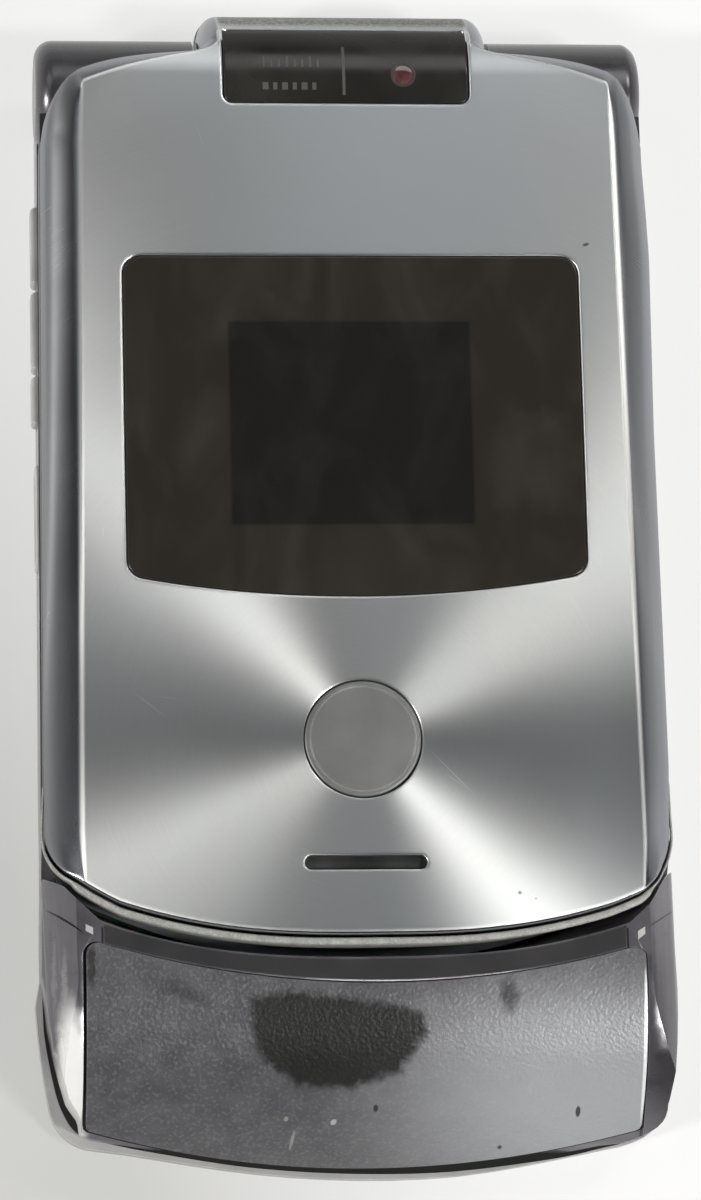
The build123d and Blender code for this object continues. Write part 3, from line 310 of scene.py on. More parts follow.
# the tangent of the gloss points outwards; rings of noise follow (radius, direction) round the centre
def brushedFinish(name, look):
    material, tree, shader, place = newMaterial(name)
    centred = flattened(tree, place, look["centre"])
    outward = vectorMaths(tree, "NORMALIZE", centred)
    tangent = addNode(tree, "VectorTransform", {0: outward}, vector_type="VECTOR", convert_from="OBJECT",
                      convert_to="WORLD").outputs[0]
    parts = addNode(tree, "SeparateXYZ", {0: outward}).outputs
    radius = times(tree, vectorMaths(tree, "LENGTH", centred), look["ringsPerMm"] / mm)
    ring = addNode(tree, "CombineXYZ", {
        0: radius, 1: times(tree, parts["X"], 5.0), 2: times(tree, parts["Y"], 5.0)}).outputs[0]
    rings = addNode(tree, "TexNoise", {"Vector": ring, "Scale": 1.0, "Detail": 4.0}).outputs["Fac"]
    patches = ranged(tree, noiseOf(tree, place, .09, 3.0), .35, .65)
    share = maths(tree, "ADD", times(tree, ranged(tree, rings, .3, .7), .35), times(tree, patches, .65))
    haze = ranged(tree, noiseOf(tree, place, .045, 5.0, (1, .7, 1), .6), .45, .66, 0, .8)
    colour = mixed(tree, haze, mixed(tree, share, look["colour"], look["tint"]), look["haze"])
    for *ellipse, strength in look["scratches"]:
        scratch = ranged(tree, ellipseReach(tree, place, *ellipse), .3, 1.0, abs(strength), 0, True)
        colour = mixed(tree, scratch, colour, 1.0 if strength > 0 else (.12, .12, .13))
    # painted shade over the barrel's top, with flecks of grain
    wrapped = ranged(tree, addNode(tree, "SeparateXYZ", {0: place}).outputs["Y"], look["wrapFrom"] * mm,
                     look["wrapTo"] * mm, 0, 1, True)
    flecks = ranged(tree, noiseOf(tree, place, 3.5, 3.0), .45, .62)
    colour = mixed(tree, wrapped, colour, mixed(tree, flecks, look["wrapColour"], look["wrapFlecks"]))
    # painted shade on the bevel and a painted highlight along the crease
    bevel = addNode(tree, "Attribute", attribute_name="bevel").outputs["Fac"]
    crease = addNode(tree, "Attribute", attribute_name="crease").outputs["Fac"]
    colour = mixed(tree, crease, mixed(tree, bevel, colour, look["bevelColour"]), look["creaseColour"])
    spread = look["roughSpread"]
    rough = ranged(tree, share, 0, 1, look["rough"] - spread, look["rough"] + spread)
    for part, change in ((bevel, look["bevelRough"]), (crease, look["creaseRough"])):
        rough = maths(tree, "ADD", rough, times(tree, part, change))
    bump = addNode(tree, "Bump", {"Height": rings, "Strength": look["relief"], "Distance": .01 * mm})
    fill(tree, shader, {"Base Color": colour, "Roughness": rough, "Normal": bump.outputs["Normal"],
                        "Tangent": tangent, "Metallic": 1.0})
    shader.inputs["Anisotropic"].default_value = look["anisotropy"]
    return material


made["lidMetal"] = brushedFinish("coverMetal", brushed)
print("finishes made:", len(made))

# a solid's finish has the name of its slot, apart from these
slotOf = {part["node"]: part["material_slot"] for part in frame["record"]["subparts"]}
ownFinish = {"hinge_barrel": "darkPlastic", "inner_display": "whitePlastic", "battery_cover": "rearPlastic",
             "lid_frame": "lidFrame"}
ownFinish |= dict.fromkeys(("camera_window", "outer_window", "inner_window"), "display")
ownFinish |= dict.fromkeys(("volume_up_key", "volume_down_key", "smart_key", "voice_key"), "sideKey")


def finishOf(name):
    first, *rest = slotOf[name].split("_")
    return made[ownFinish.get(name, first + "".join(word.title() for word in rest))]


for name, node in nodes.items():
    paint(node, finishOf(name))
print("nodes painted")


# all shapes are in millimetres until a mesh is made
# points on an arc round a centre, from one angle to another in degrees
def arcPoints(centre, radius, start, end, count):
    turn = np.radians(np.linspace(start, end, count))
    return np.stack([centre[0] + radius * np.cos(turn), centre[1] + radius * np.sin(turn)], 1)


# points at even steps along a straight line
def linePoints(start, end, count):
    share = np.linspace(0, 1, count)[:, None]
    return np.array(start, float) * (1 - share) + np.array(end, float) * share


# an outline drawn at even steps of its own length
def evenly(points, count):
    points = np.asarray(points, float)
    along = np.concatenate([[0], np.cumsum(np.linalg.norm(np.diff(points, axis=0), axis=1))])
    steps = np.linspace(0, along[-1], count)
    return np.stack([np.interp(steps, along, points[:, axis]) for axis in range(points.shape[1])], 1)


# the same round a closed outline
def evenLoop(points, count):
    return evenly(np.vstack([points, points[:1]]), count + 1)[:-1]


# a rectangle with rounded corners, anticlockwise from its lower right one
def boxLoop(low, high, radius, grow=0, count=8):
    right, left, top, bottom = high[0] - radius, low[0] + radius, high[1] - radius, low[1] + radius
    corners = ((right, bottom), (right, top), (left, top), (left, bottom))
    return np.vstack([arcPoints(corner, radius + grow, turn, turn + 90, count)
                      for corner, turn in zip(corners, (-90, 0, 90, 180))])


# a smooth curve through a few points: each span is a cubic that leans on its neighbours
def smoothCurve(points, count):
    points = np.asarray(points, float)
    padded = np.vstack([2 * points[0] - points[1], points, 2 * points[-1] - points[-2]])
    place = np.linspace(0, len(points) - 1, count * 4)
    span = np.minimum(place.astype(int), len(points) - 2)
    share = (place - span)[:, None]
    a, b, c, d = (padded[span + step] for step in range(4))
    cubic = (2 * a - 5 * b + 4 * c - d) * share**2 + (3 * b - a - 3 * c + d) * share**3
    return evenly(.5 * (2 * b + (c - a) * share + cubic), count)


# quads between the rows of a grid of points, closed round when asked
def gridFaces(rows, columns, closed=False, start=0):
    index = np.arange(rows * columns).reshape(rows, columns) + start
    across = np.roll(index, -1, 1) if closed else index[:, 1:]
    first = index if closed else index[:, :-1]
    return np.stack([first[:-1], across[:-1], across[1:], first[1:]], -1).reshape(-1, 4)


# a mesh object; its faces turn outwards, or upwards when it is an open sheet
def meshPiece(name, points, faces, material, smoothAngle=35, sheet=False, attributes=None):
    mesh = bpy.data.meshes.new(name)
    mesh.from_pydata((np.asarray(points, float) * mm).tolist(), [], [list(face) for face in faces])
    for key, values in (attributes or {}).items():
        mesh.attributes.new(key, "FLOAT", "POINT").data.foreach_set("value", np.asarray(values, np.float32))
    cleaner = bmesh.new()
    cleaner.from_mesh(mesh)
    bmesh.ops.remove_doubles(cleaner, verts=cleaner.verts, dist=.002 * mm)
    bmesh.ops.recalc_face_normals(cleaner, faces=cleaner.faces)
    if sheet and sum(face.normal.z * face.calc_area() for face in cleaner.faces) < 0:
        bmesh.ops.reverse_faces(cleaner, faces=cleaner.faces)
    cleaner.to_mesh(mesh)
    cleaner.free()
    mesh.shade_smooth()
    mesh.set_sharp_from_angle(angle=math.radians(smoothAngle))
    piece = bpy.data.objects.new(name, mesh)
    bpy.context.scene.collection.objects.link(piece)
    paint(piece, material)
    return piece


# closed loops of equal count, joined in order, with a flat cap on the first and the last
def loftPiece(name, loops, material, caps=(True, True), smoothAngle=35):
    loops = np.asarray(loops, float)
    rows, columns = loops.shape[:2]
    faces = gridFaces(rows, columns, True).tolist()
    if caps[0]:
        faces.append(list(range(columns))[::-1])
    if caps[1]:
        faces.append(list(range((rows - 1) * columns, rows * columns)))
    return meshPiece(name, loops.reshape(-1, 3), faces, material, smoothAngle)


# the phone isn't quite even: its right side stands a little further in, the upper shell is narrower round the
# chin's left corner, and the end bulges most to the right of the middle; tables are (place, millimetres)
stance = {
    "rightFrom": 22.9, "rightTo": 25.2, "keyShift": .24, "split": 2.43, "seam": 23.08,
    "endFrom": -41.0, "endTo": -46.0,
    "lid": [(-31, .6), (-20, .6), (-16, .42), (12, .42), (19, .30), (27, .18), (31, .30), (35, .48),
            (50, .48)],
    "base": [(-46.5, -1.0), (-45, -.2), (-44, .3), (-43, .40), (-34, .42), (-31, .60), (-27.5, .72),
             (-25.6, .66), (-24.6, .5), (-24, .05), (-22, -.06), (-19, .2), (-16, .42), (12, .42), (19, .30),
             (27, .18), (31, .30), (35, .48), (50, .48)],
    "plan": [(-46.5, 23.1), (-46, 23.6), (-45.2, 24.5), (-44.2, 25.15), (-43, 25.75), (-41, 26.2),
             (-39, 26.4), (-36, 26.6), (-28, 26.61), (-25.9, 26.49), (-23.7, 26.3), (-20, 26.1)],
    "shell": [(-46.5, 23.1), (-44.9, 23.25), (-43.1, 24.3), (-40.6, 25.0), (-37.3, 25.75), (-34, 25.95),
              (-32.4, 26.16), (-29, 26.14), (-23.7, 26.12), (-20, 26.1)],
    "low": [(-34.2, 0), (-33.4, .5), (-29, .48), (-25.9, .4), (-23.7, .2), (-20, 0)],
    "end": [(-25, 0), (-22.5, .2), (-20.5, .4), (-17, .42), (-13, .27), (-9, .09), (-5, -.07), (-.6, -.22),
            (4, -.35), (8, -.39), (12, -.30), (16, -.16), (20, -.12), (24, -.2)],
    "shellEnd": [(-22, 1.0), (-17.5, 1.1), (-9.2, .87), (-.9, .67), (7.4, .47), (15.6, .30), (20, .25),
                 (22.5, 0)],
}


# a table's value at each place, straight between its entries
def lookUp(table, values):
    return np.interp(values, *zip(*table))


# left of the seam the shell is narrowed from the plan's half width to its own, and pushed in below the split;
# the end moves along by a share that grows from endFrom to endTo, and the right side moves in by its table
def drawnIn(points, body):
    x, y, z = points.T.copy()
    if body == "base":
        seam, above = stance["seam"], z > stance["split"]
        left = x < -seam
        ratio = (lookUp(stance["shell"], y) - seam) / np.maximum(lookUp(stance["plan"], y) - seam, .02)
        narrow = -seam + (x + seam) * np.clip(ratio, .05, 1)
        pushed = x + lookUp(stance["low"], y) * np.clip((-x - seam) / 2, 0, 1)
        x = np.where(left & above, narrow, np.where(left, pushed, x))
        amount = np.where(above, lookUp(stance["shellEnd"], x), lookUp(stance["end"], x))
        y = y + amount * np.clip((stance["endFrom"] - y) / (stance["endFrom"] - stance["endTo"]), 0, 1)
    share = np.clip((x - stance["rightFrom"]) / (stance["rightTo"] - stance["rightFrom"]), 0, 1)
    return sagged(np.stack([x - share * lookUp(stance[body], y), y, z], 1), body)


# the lid's end and the chin before it hang lower towards their corners, most of all at the right: the drop
# grows like a hyperbola from the middle, and between the lip and the seam it passes into the seam's own slope
sag = {
    "leftRise": .09, "rightRise": .13, "bend": 6.0, "seamMiddle": .72, "seamSlope": .022,
    "lid": [(-26, .4), (-24, .48), (-22.4, .72), (-20, 1), (20, 1), (22.5, .92), (24, .68), (26, .36)],
    "base": [(-24.5, 0), (-21.5, 1), (22.3, 1), (25.4, 0)],
    "lidAlong": [(-24, 1), (-12, 0)], "baseAlong": [(-46, 0), (-36, 1), (-26, 1), (-14, 0)],
    "seamY": -33.3, "seamRadius": 78.0, "lip": 1.5, "height": [(8.5, 0), (11.6, 1)],
}


def sagged(points, body="base"):
    x, y, z = points.T
    drop = np.where(x < 0, sag["leftRise"], sag["rightRise"]) * (np.sqrt(x**2 + sag["bend"]**2) - sag["bend"])
    if body == "base":
        share = np.clip((y - arcY(x, sag["seamY"], sag["seamRadius"])) / sag["lip"], 0, 1)
        drop = drop * share + (sag["seamMiddle"] + sag["seamSlope"] * x) * (1 - share)
    drop = drop * lookUp(sag[body], x) * lookUp(sag[body + "Along"], y) * lookUp(sag["height"], z)
    return np.stack([x, y - drop, z], 1)


# height of an arc that bulges towards the chin's end
def arcY(x, crown, radius, middle=0.0):
    return crown + radius - np.sqrt(radius**2 - (x - middle)**2)


# a mesh's places in millimetres, one row each
def placesOf(mesh):
    flat = np.empty(len(mesh.vertices) * 3, np.float32)
    mesh.vertices.foreach_get("co", flat)
    return flat.reshape(-1, 3) / mm


def reshape(piece, change):
    moved = change(placesOf(piece.data))
    piece.data.vertices.foreach_set("co", (moved * mm).astype(np.float32).ravel())
    piece.data.update()


# a key in the right wall and its switch move in whole, and keep their form
def settle(piece, body, whole=False):
    if whole:
        reshape(piece, lambda points: points - (stance["keyShift"], 0, 0) * (points[:, :1] > 15))
    else:
        reshape(piece, lambda points: drawnIn(points, body))


def finishPiece(piece, body, slot, *replaced):
    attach(piece, body)
    if replaced:
        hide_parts(*replaced)
    return piece


# is each point inside a closed outline: it is when a ray to the right crosses it an odd number of times
def inside(outline, points):
    a, b = outline, np.roll(outline, -1, 0)
    x, y = points[:, :1], points[:, 1:]
    crosses = (a[:, 1] > y) != (b[:, 1] > y)
    slope = (b[:, 0] - a[:, 0]) / np.where(b[:, 1] == a[:, 1], 1, b[:, 1] - a[:, 1])
    return ((crosses & (x < slope * (y - a[:, 1]) + a[:, 0])).sum(1) % 2) == 1


# the lid's skin: a flat pattern (x, s, height) that rolls down round the hinge
hinge = {"y": 42.1, "z": 7.0, "radius": 6.9}
lidTop = hinge["z"] + hinge["radius"]


# below the axis the pattern lies flat, past it the length s becomes an angle round the hinge
def rolled(x, s, height):
    turn = np.maximum(s, 0) / hinge["radius"]
    reach = hinge["radius"] + height
    y = hinge["y"] + np.minimum(s, 0) + reach * np.sin(turn)
    return np.stack(np.broadcast_arrays(x, y, hinge["z"] + reach * np.cos(turn)), -1)


# a plan place past the axis, as length along the roll
def unrolled(points):
    points = np.asarray(points, float).copy()
    past = points[:, 1] - hinge["y"]
    turn = np.arcsin(np.clip(past / hinge["radius"], 0, 1))
    points[:, 1] = np.where(past > 0, hinge["radius"] * turn, past)
    return points


cover = {
    "endCrown": -30.25, "endRadius": 51.35, "sideLow": 26.0, "sideHigh": 25.62, "cornerRadius": 4.0,
    "creaseLow": 22.95, "creaseHigh": 22.25, "shoulderLow": 36.5,
    "shoulder": [(25.63, 36.5), (25.25, 38.6), (24.55, 40.35), (23.5, 41.9), (22.3, 42.95)],
    "shoulderTop": [(22.3, 42.95), (20.4, 43.7), (18.3, 44.25), (16.2, 44.6), (14.5, 44.8), (13.1, 44.9)],
    "creaseCorner": [(22.25, 36.5), (22.2, 39.0), (22.16, 40.6), (22.13, 41.3), (22.0, 41.6)],
    "creaseTop": [(22.0, 41.6), (20.2, 42.25), (18.2, 42.9), (16.3, 43.4), (14.4, 43.85), (12.6, 44.2)],
    "bumpSide": 12.3, "bumpCrease": 10.5, "bumpStart": 45.5, "wrapEnd": 9.09, "wallLow": 11.4,
    "endWidth": .25, "flatShift": .22,
    "sideShares": (0, .33, .68, .88, 1), "sideSlopes": (.30, .56, .72, 1.05, 1.9), "plate": .7,
    "depths": (2.25, .3, .85, 2.6),     # of the bevel at the sides, lower end, shoulders and bump
}


# right half of the skin's edge and of the crease beside it, point for point, from the lower middle to the
# wrap's end: arcs, straight lines and smooth curves, each with a share of the four depths
def coverLines():
    c = cover
    middleY = c["endCrown"] + c["endRadius"]
    filletX = c["sideLow"] - c["cornerRadius"]
    filletY = middleY - math.sqrt((c["endRadius"] - c["cornerRadius"])**2 - filletX**2)
    creaseTurn = math.degrees(math.asin(c["creaseLow"] / c["endRadius"])) - 90
    filletTurn = math.degrees(math.atan2(filletY - middleY, filletX))
    end = arcPoints((0, middleY), c["endRadius"], -90, creaseTurn, 70)
    endCrease = arcPoints((0, middleY), c["endRadius"] - c["endWidth"], -90, creaseTurn, 70)
    corner = np.vstack([arcPoints((0, middleY), c["endRadius"], creaseTurn, filletTurn, 5),
                        arcPoints((filletX, filletY), c["cornerRadius"], filletTurn, 0, 22)[1:]])
    cornerCrease = linePoints(endCrease[-1], (c["creaseLow"], filletY), len(corner))
    side = linePoints(corner[-1], (c["sideHigh"], c["shoulderLow"]), 50)
    sideCrease = linePoints(cornerCrease[-1], (c["creaseHigh"], c["shoulderLow"]), 50)
    notch = smoothCurve([c["shoulderTop"][-1], (12.55, 45.05), (c["bumpSide"], c["bumpStart"])], 10)
    notchCrease = smoothCurve([c["creaseTop"][-1], (11.2, 44.75), (c["bumpCrease"], c["bumpStart"])], 10)
    outer = [end, corner, side, smoothCurve(c["shoulder"], 22), smoothCurve(c["shoulderTop"], 30), notch]
    inner = [endCrease, cornerCrease, sideCrease, smoothCurve(c["creaseCorner"], 22),
             smoothCurve(c["creaseTop"], 30), notchCrease]
    outer, inner = ([unrolled(part) for part in parts] for parts in (outer, inner))
    outer.append(linePoints(outer[-1][-1], (c["bumpSide"], c["wrapEnd"]), 26))
    inner.append(linePoints(inner[-1][-1], (c["bumpCrease"], c["wrapEnd"]), 26))
    kinds = [(1, 1), (1, 0), (0, 0), (0, 2), (2, 2), (2, 3), (3, 3)]    # each part's first and last depth
    weights = []
    for part, (first, last) in zip(outer, kinds):
        share = np.linspace(0, 1, len(part))
        share = (share * share * (3 - 2 * share))[:, None]
        weights.append(np.eye(4)[first] * (1 - share) + np.eye(4)[last] * share)
    keep = [slice(1, None) if step else slice(None) for step in range(len(outer))]
    return [np.vstack([part[cut] for part, cut in zip(parts, keep)]) for parts in (outer, inner, weights)]


# how far the bevel has dropped at a share of its width, for sides, lower end, shoulders and barrel ends
def bevelDrop(share):
    eased = np.sqrt(share**2 + .0016) - .04
    eased = eased / eased[-1]
    fine = np.linspace(0, 1, 400)
    slope = np.interp(fine, cover["sideShares"], cover["sideSlopes"])
    fall = np.concatenate([[0], np.cumsum((slope[1:] + slope[:-1]) / 2)])
    sides = np.interp(share, fine, fall / fall[-1])
    roundEdge = 1 - np.sqrt(np.clip(1 - share**2, 0, 1))
    return np.stack([sides, roundEdge, eased**1.15, roundEdge])


windowShape = {"half": 19.05, "top": 26.5, "sideLow": -.55, "crown": -2.35, "radius": 1.5}


# a level top, straight sides and a lower edge that is one arc, in plan
def windowLoop(grow, count=240):
    w = windowShape
    half, top = w["half"] + grow, w["top"] + grow
    radius = (w["half"]**2 + (w["sideLow"] - w["crown"])**2) / (2 * (w["sideLow"] - w["crown"]))
    middleY, reach, corner = w["crown"] + radius, radius + grow, w["radius"] + grow
    lowX = half - corner
    lowY = middleY - math.sqrt((reach - corner)**2 - lowX**2)
    turn = math.degrees(math.atan2(lowY - middleY, lowX))
    rightHalf = np.vstack([
        arcPoints((0, middleY), reach, -90, turn, 60), arcPoints((lowX, lowY), corner, turn, 0, 12),
        arcPoints((lowX, top - corner), corner, 0, 90, 12), [(0, top)]])
    loop = np.vstack([rightHalf, (rightHalf * (-1, 1))[::-1][1:-1]])
    return evenLoop(loop, count)


slotShape = {"half": 5.0, "y": -24.2, "radius": .58}


# two half circles, in plan
def slotLoop(grow, count=36):
    half, y, radius = slotShape.values()
    right = arcPoints((half - radius, y), radius + grow, -90, 90, count)
    left = arcPoints((radius - half, y), radius + grow, 90, 270, count)
    return np.vstack([right, left])


# a whole circle, without its first point again at the end
def circleLoop(centre, radius, count=120):
    return arcPoints(centre, radius, 0, 360, count + 1)[:-1]


cameraShape = {"low": -2.4, "high": 4.9, "half": 10.35, "lowRadius": .8, "highRadius": .45}


# rounded rectangle in pattern lengths, dense along its sides so that it can roll
def cameraLoop(grow, count=200):
    low, high, half, lowR, highR = np.array(list(cameraShape.values())) + np.array([-1, 1, 1, 1, 1]) * grow
    corners = ((half - lowR, low + lowR, lowR, -90, 9), (half - highR, high - highR, highR, 0, 7),
               (highR - half, high - highR, highR, 90, 7), (lowR - half, low + lowR, lowR, 180, 9))
    loop = np.vstack([arcPoints((x, s), radius, turn, turn + 90, steps)
                      for x, s, radius, turn, steps in corners])
    return evenLoop(loop, count)


toPattern = np.array([0, -hinge["y"]])      # plan places below the axis, as pattern places
openings = {
    "window": dict(loop=lambda grow: windowLoop(grow) + toPattern, lip=.16),
    "emblem": dict(loop=lambda grow: circleLoop((0, -14.2), 4.9 + grow) + toPattern, lip=.10),
    "slot": dict(loop=lambda grow: slotLoop(grow) + toPattern, lip=.12),
    "camera": dict(loop=cameraLoop, lip=.22),
}


# triangles that fill a pattern outline, with extra places inside where the sheet has to bend
def filledPattern(border, holes, rolls, gap=.12):
    loops = [border] + holes
    rolls = rolls[inside(border, rolls)]
    clear = np.ones(len(rolls), bool)
    for loop in loops:
        clear &= np.min(np.linalg.norm(rolls[:, None] - loop[None], axis=2), axis=1) > gap
    for loop in holes:
        clear &= ~inside(loop, rolls)
    starts = np.cumsum([0] + [len(loop) for loop in loops])
    edges = [np.stack([np.arange(len(loop)) + start, np.roll(np.arange(len(loop)) + start, -1)], 1)
             for loop, start in zip(loops, starts)]
    places = np.vstack(loops + [rolls[clear]])
    filled = delaunay_2d_cdt([Vector(p) for p in places], np.vstack(edges).tolist(), [], 1, 1e-5)
    corners = np.array([tuple(v) for v in filled[0]])
    triangles = np.array([face for face in filled[2] if len(face) == 3])
    for loop in holes:
        triangles = triangles[~inside(loop, corners[triangles].mean(1))]
    return corners, triangles


# a grid of places over a width and between two lengths, for the parts of the sheet that roll
def patternRows(half, low, high, across=.61, along=.3):
    rows = np.meshgrid(np.arange(-half, half + .01, across), np.arange(low, high, along))
    return np.stack([part.ravel() for part in rows], 1)


# the skin: bevel strip round the edge, flat middle cut by its openings, and a wall at every edge
def makeCover():
    c = cover
    outer, inner, weights = coverLines()
    outer = np.vstack([(outer * (-1, 1))[:0:-1], outer])
    inner = np.vstack([(inner * (-1, 1))[:0:-1], inner])
    weights = np.vstack([weights[:0:-1], weights])
    inward = inner - outer
    flatEdge = inner + c["flatShift"] * inward / np.linalg.norm(inward, axis=1)[:, None]
    share = np.array([0, .008, .018, .03, .045, .065, .09, .13, .19, .26, .33, .39, .44, .48, .52, .56, .61,
                      .68, .77, .86, .93, .975, 1.0])
    drop = (weights * c["depths"]) @ bevelDrop(share)
    flat = inner[:, None] * (1 - share[:, None]) + outer[:, None] * share[:, None]
    level = rolled(flatEdge[:, 0], flatEdge[:, 1], 0)[:, None]
    strip = np.concatenate([level, rolled(flat[..., 0], flat[..., 1], -drop)], 1)
    edge = strip[:, -1]
    fall = np.linspace(0, 1, 6)[1:, None, None]
    low = np.minimum(edge[:, 2], c["wallLow"])
    wall = edge[None] + fall * np.stack([0 * low, 0 * low, low - edge[:, 2]], -1)[None]
    grid = np.concatenate([strip.transpose(1, 0, 2), wall])
    points, faces = [grid.reshape(-1, 3)], gridFaces(*grid.shape[:2])[:, ::-1].tolist()
    start = len(points[0])
    across = np.concatenate([[-.07], share, np.ones(len(wall))])[:, None]
    # the bevel share carries the bevel's painted shade, the crease share the crease's painted highlight, both
    # with their roughness
    bevelMark = np.broadcast_to(np.clip(across / .03, 0, 1), grid.shape[:2]).ravel()
    creaseMark = np.interp(across, (-.07, 0, .05, .12), (0, 1, 1, 0)) * (1 - .75 * weights[:, 3])[None]

    border = np.vstack([flatEdge, linePoints(flatEdge[-1], flatEdge[0], 60)[1:-1]])
    holes = [spec["loop"](spec["lip"] + .15) for spec in openings.values()]
    rolls = np.vstack([patternRows(12.2, .15, c["wrapEnd"] - .1), patternRows(22, .15, 2.6, 1.1)])
    corners, triangles = filledPattern(border, holes, rolls)
    points.append(rolled(corners[:, 0], corners[:, 1], np.zeros(len(corners))))
    faces += (triangles + start).tolist()
    start += len(corners)

    for spec in openings.values():
        turn = np.radians(np.array([0, 18, 36, 54, 72, 90]))
        grows = np.concatenate([[spec["lip"] + .15], spec["lip"] * (1 - np.sin(turn)), [0, 0]])
        heights = np.concatenate([[0], spec["lip"] * (np.cos(turn) - 1), [-.5, -c["plate"]]])
        flatRings = np.stack([spec["loop"](grow) for grow in grows])
        rings = rolled(flatRings[..., 0], flatRings[..., 1], heights[:, None])
        points.append(rings.reshape(-1, 3))
        faces += gridFaces(*rings.shape[:2], True, start)[:, ::-1].tolist()
        start += rings.shape[0] * rings.shape[1]
    rest = np.zeros(start - len(points[0]))
    piece = meshPiece("lidCover", np.vstack(points), faces, made["lidMetal"], 50, True, {
        "bevel": np.concatenate([bevelMark, rest]), "crease": np.concatenate([creaseMark.ravel(), rest])})
    settle(piece, "lid")
    shell = piece.modifiers.new("thickness", "SOLIDIFY")
    shell.thickness = c["plate"] * mm
    shell.offset = -1
    return finishPiece(piece, "lid", "lid_metal", "lid_outer_cover")


makeCover()
print("lid cover made")


# a plate that follows the rolled skin: its outline is loop(grow), its rim a quarter circle under the top
def patternPlate(name, loop, top, bottom, rim, material, rolls=np.zeros((0, 2)), wrap=rolled):
    turn = np.radians(np.linspace(0, 90, 6))
    grows = np.concatenate([[-rim - .12], -rim * (1 - np.sin(turn)), [0]])
    heights = np.concatenate([[top], top - rim * (1 - np.cos(turn)), [bottom]])
    flat = np.stack([loop(grow) for grow in grows])
    rings = wrap(flat[..., 0], flat[..., 1], heights[:, None])
    points = [rings.reshape(-1, 3)]
    faces = gridFaces(*rings.shape[:2], True).tolist()
    corners, triangles = filledPattern(loop(grows[0]), [], rolls)
    start = len(points[0])
    points.append(wrap(corners[:, 0], corners[:, 1], np.full(len(corners), top)))
    faces += (triangles + start).tolist()
    start += len(corners)
    corners, triangles = filledPattern(loop(0), [], rolls)
    points.append(wrap(corners[:, 0], corners[:, 1], np.full(len(corners), bottom)))
    faces += (triangles[:, ::-1] + start).tolist()
    return meshPiece(name, np.vstack(points), faces, material, 50)


# the two dark windows; a view is the darker panel's left, right, lower and upper side
displayWindow = {
    "gap": .05, "top": -.04, "bottom": -.86, "rim": .12, "view": (-10.2, 9.6, 3.85, 20.7), "viewSoft": .35,
    "border": (.0235, .0210, .0170), "glass": (.0125, .0120, .0110), "rough": .13,
}
cameraWindow = dict(
    displayWindow, top=-.06, bottom=-.66, rim=.14, view=(-20, 20, 30, 31), border=(.016, .0145, .0125),
    rough=.16, divider=(-.2, .24, -1.7, 2.75), lensCentre=(4.8, .1), lensRadius=.84)


# a dark lens over a display: the panel's rectangle is darker than the printed border round it
def lensFinish(name, look):
    material, tree, shader, place = newMaterial(name)
    parts = addNode(tree, "SeparateXYZ", {0: place}).outputs
    lowX, highX, lowY, highY = (value * mm for value in look["view"])
    soft = look["viewSoft"] * mm
    across = times(tree, ranged(tree, parts["X"], lowX - soft, lowX, smooth=True),
                   ranged(tree, parts["X"], highX, highX + soft, 1, 0, True))
    along = times(tree, ranged(tree, parts["Y"], lowY - soft, lowY, smooth=True),
                  ranged(tree, parts["Y"], highY, highY + soft, 1, 0, True))
    panel = times(tree, across, along)
    smears = noiseOf(tree, place, .16, 4.0, (1, .55, 1), .8)
    haze = ranged(tree, smears, .42, .75, 0, .55)
    border = mixed(tree, haze, look["border"], tuple(1.9 * part for part in look["border"]))
    glass = mixed(tree, haze, look["glass"], tuple(1.7 * part for part in look["glass"]))
    fill(tree, shader, {
        "Base Color": mixed(tree, panel, border, glass),
        "Roughness": ranged(tree, smears, .35, .7, look["rough"], look["rough"] + .14)})
    shader.inputs["Specular IOR Level"].default_value = .45
    return material


# a window's plate: its opening's outline less a gap, held under the skin's top
def windowPlate(name, look, opening, finish, replaced, *rolls):
    plate = patternPlate(name, lambda grow: openings[opening]["loop"](grow - look["gap"]), look["top"],
                         look["bottom"], look["rim"], lensFinish(finish, look), *rolls)
    finishPiece(plate, "lid", "window_lens", replaced)


cameraRolls = patternRows(10.2, -.15, 4.9)
windowPlate("windowLens", displayWindow, "window", "windowGlass", "outer_window")
windowPlate("cameraGlass", cameraWindow, "camera", "cameraGlassDark", "camera_window", cameraRolls)


# a thin printed bar on the camera window, from a centre, a width and two pattern lengths
def printedBar(x, width, low, high, rows):
    s = np.linspace(low, high, rows)[:, None]
    top = cameraWindow["top"] + .012
    side = np.array([-width / 2, -width / 2, width / 2, width / 2]) + x
    height = np.array([top - .03, top, top, top - .03])
    return rolled(side[None] + 0 * s, s + 0 * side[None], height[None] + 0 * s)


# the divider beside the lens, a row of fine upright ticks and a row of blocks
def printedMarks():
    bars = [printedBar(*cameraWindow["divider"], 12)]
    bars += [printedBar(x, .16, .75, 1.45 if index % 3 else 1.75, 4)
             for index, x in enumerate(np.arange(-6.9, -2.3, .65))]
    bars += [printedBar(x, .34 if index % 2 else .5, -1.25, -.62, 4)
             for index, x in enumerate(np.arange(-6.8, -2.2, .82))]
    points, faces, start = [], [], 0
    for bar in bars:
        rows = bar.shape[0]
        points.append(bar.reshape(-1, 3))
        faces += gridFaces(rows, 4, True, start).tolist()
        faces.append([start + step for step in (3, 2, 1, 0)])
        faces.append([start + (rows - 1) * 4 + step for step in range(4)])
        start += rows * 4
    return meshPiece("cameraMarks", np.vstack(points), faces, made["print"], 30)


finishPiece(printedMarks(), "lid", "window_lens")


# turned round the camera lens's middle: a ring has a radius and a height over the window, the last is filled
def lensPiece(name, rings, material, count=64):
    flat = np.stack([circleLoop(cameraWindow["lensCentre"], radius, count) for radius, _ in rings])
    heights = np.array([height for _, height in rings])[:, None] + cameraWindow["top"]
    piece = loftPiece(name, rolled(flat[..., 0], flat[..., 1], heights), material, (False, True), 40)
    finishPiece(piece, "lid", "window_lens")


